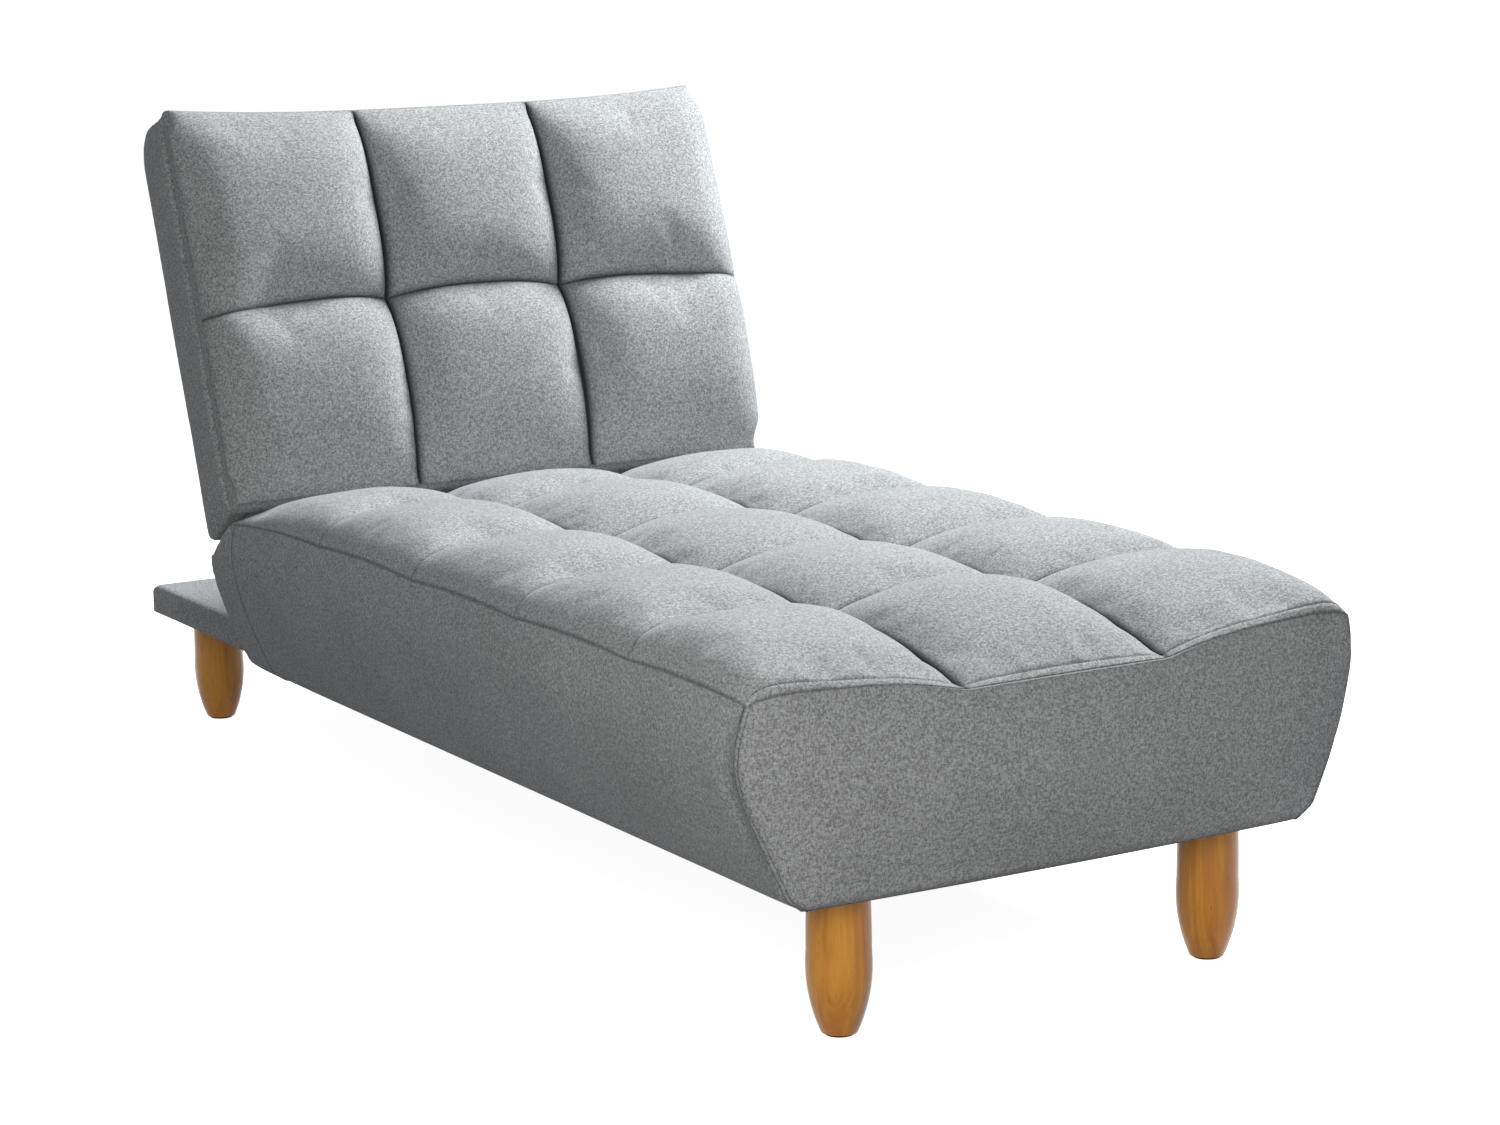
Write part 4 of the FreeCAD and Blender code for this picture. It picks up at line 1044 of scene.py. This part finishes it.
def to_back_frame(points):
    y, z = points[..., 1] - BACK_ORIGIN.y, points[..., 2] - BACK_ORIGIN.z
    up = math.sin(RECLINE) * y + math.cos(RECLINE) * z
    rear = math.cos(RECLINE) * y - math.sin(RECLINE) * z
    return np.stack([points[..., 0], up, rear], -1)


def raised_corners(local):
    """Lifts the top corners of the back and lets its top edge sag between them."""
    horn = sizes().back_horn
    rise = horn * (1.4 * abs(local[..., 0] / SEAM_HALF) ** 3 - 0.4)
    local = local.copy()
    local[..., 1] += rise * smooth_step(local[..., 1], 0.24, 0.44)
    return local


class RECAMIER_OT_back_pad(bpy.types.Operator):
    """Make the tufted back pad"""

    bl_idname = "recamier.back_pad"
    bl_label = "Back pad"

    def place(self, found):
        x, up, lift, shade, held = np.moveaxis(found.copy(), -1, 0)
        inward = SEAM_HALF - abs(x)
        ends = smooth_step(np.minimum(up - BACK_SEAMS[0], BACK_SEAMS[-1] - up), 0.0, 0.04)
        bulge = sizes().side_bulge * ends * (1 - np.exp(-inward / 0.004)) * np.exp(-inward / 0.02)
        local = np.stack([drawn_in(x) + np.sign(x) * bulge, up, -lift], -1)
        surface = from_back_frame(raised_corners(local))
        flutter = ripple(surface, (0.06, 0.05, 0.05), 11) * 0.0006
        flutter += ripple(surface, (0.14, 0.1, 0.12), 6) * 0.0012
        low = bell(up, 0.05, 0.05) * bell(x, -0.25, 0.09)
        stress = ripple(surface * (0.5, 1, 1), (0.08, 0.02, 0.014), 15) * 0.0020 * low
        surface += grid_normals(surface) * ((flutter + stress) * (1 - held))[..., None]
        # Painted shade along the pad's side seams and its top and bottom seams.
        shade[:, [0, -1]] = 0.12
        shade[[0, -1]] = 0.4
        return surface, shade, held

    def base(self, found):
        """The pad's rear edge; its lowest line covers the foam's lower edge."""
        x, up = found[..., 0], found[..., 1].copy()
        up[0] = BACK_FOAM_LOW - 0.0003
        return from_back_frame(raised_corners(np.stack([x, up, np.full_like(x, BACK_PAD_REAR)], -1)))

    def execute(self, context):
        size = sizes()
        crown = ([0.0, 0.022, 0.0], [0.030, 0.030])
        tufting = Tufting(
            half=SEAM_HALF, seams=BACK_SEAMS,
            profiles={
                "edge": ([0.0, 0.0, 0.0], [0.003, 0.003]),
                "seam": ([0.0, 0.002, 0.0], [0.021, 0.021]),
                "crown": crown, "middle": crown,
            },
            bow=0.014, fullness=0.002, depths=(size.tuft_depth, size.cross_depth), powers=(6.0, 3.4),
            wadding=(size.edge_wadding * 1.6, 0.0, size.edge_wadding * 0.6),
            corner=0.0, bridge=0.012, fades=(0.7, 0.0), arc=0.006, arch=3.4,
        )
        pad = tufted_cover("back_pad_cover", tufting, self.place, self.base, 0.0035)
        dress(pad, "backrest", "back_pad")
        return {"FINISHED"}


class RECAMIER_OT_back_panels(bpy.types.Operator):
    """Make the back's side, top, rear and bottom panels"""

    bl_idname = "recamier.back_panels"
    bl_label = "Back panels"

    def bottom_panel(self, name, node):
        """A panel too thin in front to remesh; its front edge runs on to the pad."""
        made = node_copy(name, node, "melange_cover")
        local = to_back_frame(coordinates(made.data))
        local[local[:, 2] < 0.0285, 2] = BACK_PANELS_FRONT
        set_coordinates(made.data, from_back_frame(local))
        mark(made, "seam", np.zeros(len(local)))
        return made

    def near_pad(self, points):
        """The panels keep their form where they meet the pad."""
        return 1 - smooth_step(to_back_frame(points)[:, 2], 0.025, 0.036)

    def execute(self, context):
        for part in ("side_panel_left", "side_panel_right", "top_panel", "bottom_panel", "rear_panel"):
            node = "back_" + part
            name = node.replace("panel", "cover")
            if part == "bottom_panel":
                panel = self.bottom_panel(name, node)
            else:
                panel = padded_copy(name, node, "melange_cover", 0.0035, 4, 0.0008, 0.0004,
                                    self.near_pad)
            local = to_back_frame(coordinates(panel.data))
            set_coordinates(panel.data, from_back_frame(raised_corners(local)))
            dress(panel, "backrest", node)
        return {"FINISHED"}


class RECAMIER_OT_platform(bpy.types.Operator):
    """Make the upholstered platform cover"""

    bl_idname = "recamier.platform"
    bl_label = "Platform cover"

    def execute(self, context):
        cover = padded_copy("platform_cover_cloth", "platform_cover", "melange_cover", 0.0016, 3, 0.0004)
        dress(cover, "base", "platform_cover")
        return {"FINISHED"}


class RECAMIER_OT_filling(bpy.types.Operator):
    """Make the foam, felt, webbing and dust cover inside"""

    bl_idname = "recamier.filling"
    bl_label = "Filling and webbing"

    def execute(self, context):
        for node, body in (("seat_foam", "base"), ("back_foam", "backrest")):
            block = padded_copy(node + "_block", node, "seat_foam", 0.006, 2, 0.0006, -0.0004)
            dress(block, body, node)
        self.sheet("seat_felt", "needled_felt", "felt", ["seat_springs"])
        self.sheet("seat_dust_cover", "black_cloth", "underside_cloth",
                   ["seat_front_rail", "seat_rear_rail"])
        self.cloth("back_webbing", "backrest", "elastic_webbing", "webbing")
        return {"FINISHED"}

    def cloth(self, node, body, finish, slot):
        made = node_copy(node + "_cloth", node, finish)
        dress(modified(made, "BEVEL", width=0.0004, segments=2), body, node)
        return made

    def sheet(self, node, finish, slot, rests_on):
        made = self.cloth(node, "base", finish, slot)
        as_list(rests_on)


class RECAMIER_OT_finishes(bpy.types.Operator):
    """Give the wooden and steel pieces their finishes"""

    bl_idname = "recamier.finishes"
    bl_label = "Wood and steel finishes"

    def execute(self, context):
        finishes = {
            "lacquered_legs": ("leg_front", "leg_rear"), "leg_glide": ("leg_glides",),
            "zinc_steel": ("leg_plates", "leg_bolts", "hinge_", "seat_spring_clips"),
            "spring_steel": ("seat_springs",), "birch_plywood": ("platform_deck",),
            "sawn_timber": ("seat_hinge_blocks", "seat_corner_blocks", "back_hinge_posts"),
        }
        for name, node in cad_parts.items():
            if node.hide_render:
                continue
            found = [finish for finish, starts in finishes.items() if name.startswith(starts)]
            if not found and ("rail" in name or "stile" in name):
                found = ["sawn_timber"]
            if not found:
                raise RuntimeError("no finish for " + name)
            node.data.materials.clear()
            node.data.materials.append(material(found[0]))
        return {"FINISHED"}


# The photo's camera: its place in metres, its yaw, pitch and roll in degrees, its lens in mm
CAMERA_PLACE = (-1.9375, -3.4341, 1.0721)
CAMERA_TURN = (31.211, 11.035, -0.7315)
CAMERA_LENS = 85.43


class RECAMIER_OT_studio(bpy.types.Operator):
    """Set up the floor, the lamps, the world and the camera"""

    bl_idname = "recamier.studio"
    bl_label = "Studio"

    def execute(self, context):
        scene = bpy.context.scene
        self.floor()
        self.world(scene)
        self.lamp("key", (1.75, 0.32, 2.2), (0.0, -0.2, 0.35), 0.9, 108, (0.94, 0.975, 1.0))
        self.lamp("fill", (-1.2, -1.95, 0.95), (-0.1, -0.5, 0.25), 1.2, 13.5, (1.0, 0.985, 0.96))
        self.camera(scene)
        scene.view_settings.view_transform = "Standard"
        return {"FINISHED"}

    def floor(self):
        """A floor that the camera sees as white and the light as grey."""
        corners = [(-9, -9, 0), (9, -9, 0), (9, 9, 0), (-9, 9, 0)]
        plane = new_object("studio_floor", corners, [(0, 1, 2, 3)])
        surface = bpy.data.materials.new("studio_floor")
        surface.use_nodes = True
        surface.node_tree.nodes.clear()
        node = Nodes(surface.node_tree).node
        rays = node("LightPath").outputs
        seen = rays["Is Camera Ray"]
        for kind in ("Is Glossy Ray", "Is Transmission Ray"):
            seen = node("Math", {0: seen, 1: rays[kind]}, operation="MAXIMUM").outputs[0]
        matte = node("BsdfDiffuse", {"Color": (0.22, 0.22, 0.22, 1)}).outputs[0]
        pale = node("BsdfDiffuse", {"Color": (*colours().floor, 1)}).outputs[0]
        glow = node("Emission", {"Strength": 0.92}).outputs[0]
        shown = node("AddShader", {0: pale, 1: glow}).outputs[0]
        mix = node("MixShader", {0: seen, 1: matte, 2: shown}).outputs[0]
        node("OutputMaterial", {"Surface": mix})
        plane.data.materials.append(surface)

    def world(self, scene):
        """A soft sky that the camera sees as white."""
        scene.world = bpy.data.worlds.new("studio")
        scene.world.use_nodes = True
        studio = Nodes(scene.world.node_tree)
        sky = studio.tree.nodes["Background"]
        sky.inputs["Color"].default_value = (0.93, 0.96, 1.0, 1)
        sky.inputs["Strength"].default_value = 0.21
        white = studio.node("Background", {"Color": (1, 1, 1, 1)})
        seen = studio.node("LightPath").outputs["Is Camera Ray"]
        mix = studio.node("MixShader", {0: seen, 1: sky.outputs[0], 2: white.outputs[0]})
        studio.feed(studio.tree.nodes["World Output"].inputs["Surface"], mix.outputs[0])

    def lamp(self, name, place, target, size, power, tint):
        data = put(bpy.data.lights.new(name, "AREA"), color=tint, shape="DISK", size=size, energy=power)
        turn = (Vector(target) - Vector(place)).to_track_quat("-Z", "Y").to_euler()
        put(placed(name, data), location=place, rotation_euler=turn)

    def camera(self, scene):
        yaw, pitch, roll = (math.radians(angle) for angle in CAMERA_TURN)
        turn = (Matrix.Rotation(-yaw, 4, "Z") @ Matrix.Rotation(math.pi / 2 - pitch, 4, "X")
                @ Matrix.Rotation(roll, 4, "Z"))
        data = put(bpy.data.cameras.new("camera"), sensor_width=36, lens=CAMERA_LENS, clip_start=0.1)
        scene.camera = put(placed("camera", data), matrix_world=Matrix.Translation(CAMERA_PLACE) @ turn)


OPERATORS = (
    RECAMIER_OT_seat_pad, RECAMIER_OT_seat_sides, RECAMIER_OT_seat_front, RECAMIER_OT_seat_rear,
    RECAMIER_OT_back_pad, RECAMIER_OT_back_panels, RECAMIER_OT_platform, RECAMIER_OT_filling,
    RECAMIER_OT_finishes, RECAMIER_OT_studio,
)


class RECAMIER_PT_panel(bpy.types.Panel):
    """Lists the recamier's sizes, colours and steps"""

    bl_label = "Recamier"
    bl_idname = "RECAMIER_PT_panel"
    bl_space_type = "VIEW_3D"
    bl_region_type = "UI"
    bl_category = "Recamier"

    def draw(self, context):
        layout = self.layout
        for group in (context.scene.recamier_sizes, context.scene.recamier_colours):
            box = layout.box()
            for name in group.bl_rna.properties.keys():
                if name not in ("rna_type", "name"):
                    box.prop(group, name)
        for operator in OPERATORS:
            layout.operator(operator.bl_idname)


CLASSES = (RecamierSizes, RecamierColours) + OPERATORS + (RECAMIER_PT_panel,)


def register():
    for entry in CLASSES:
        bpy.utils.register_class(entry)
    bpy.types.Scene.recamier_sizes = PointerProperty(type=RecamierSizes)
    bpy.types.Scene.recamier_colours = PointerProperty(type=RecamierColours)


def unregister():
    del bpy.types.Scene.recamier_colours
    del bpy.types.Scene.recamier_sizes
    for entry in reversed(CLASSES):
        bpy.utils.unregister_class(entry)


def main():
    register()
    for operator in OPERATORS:
        group, name = operator.bl_idname.split(".")
        getattr(getattr(bpy.ops, group), name)()


if __name__ == "__main__":
    main()
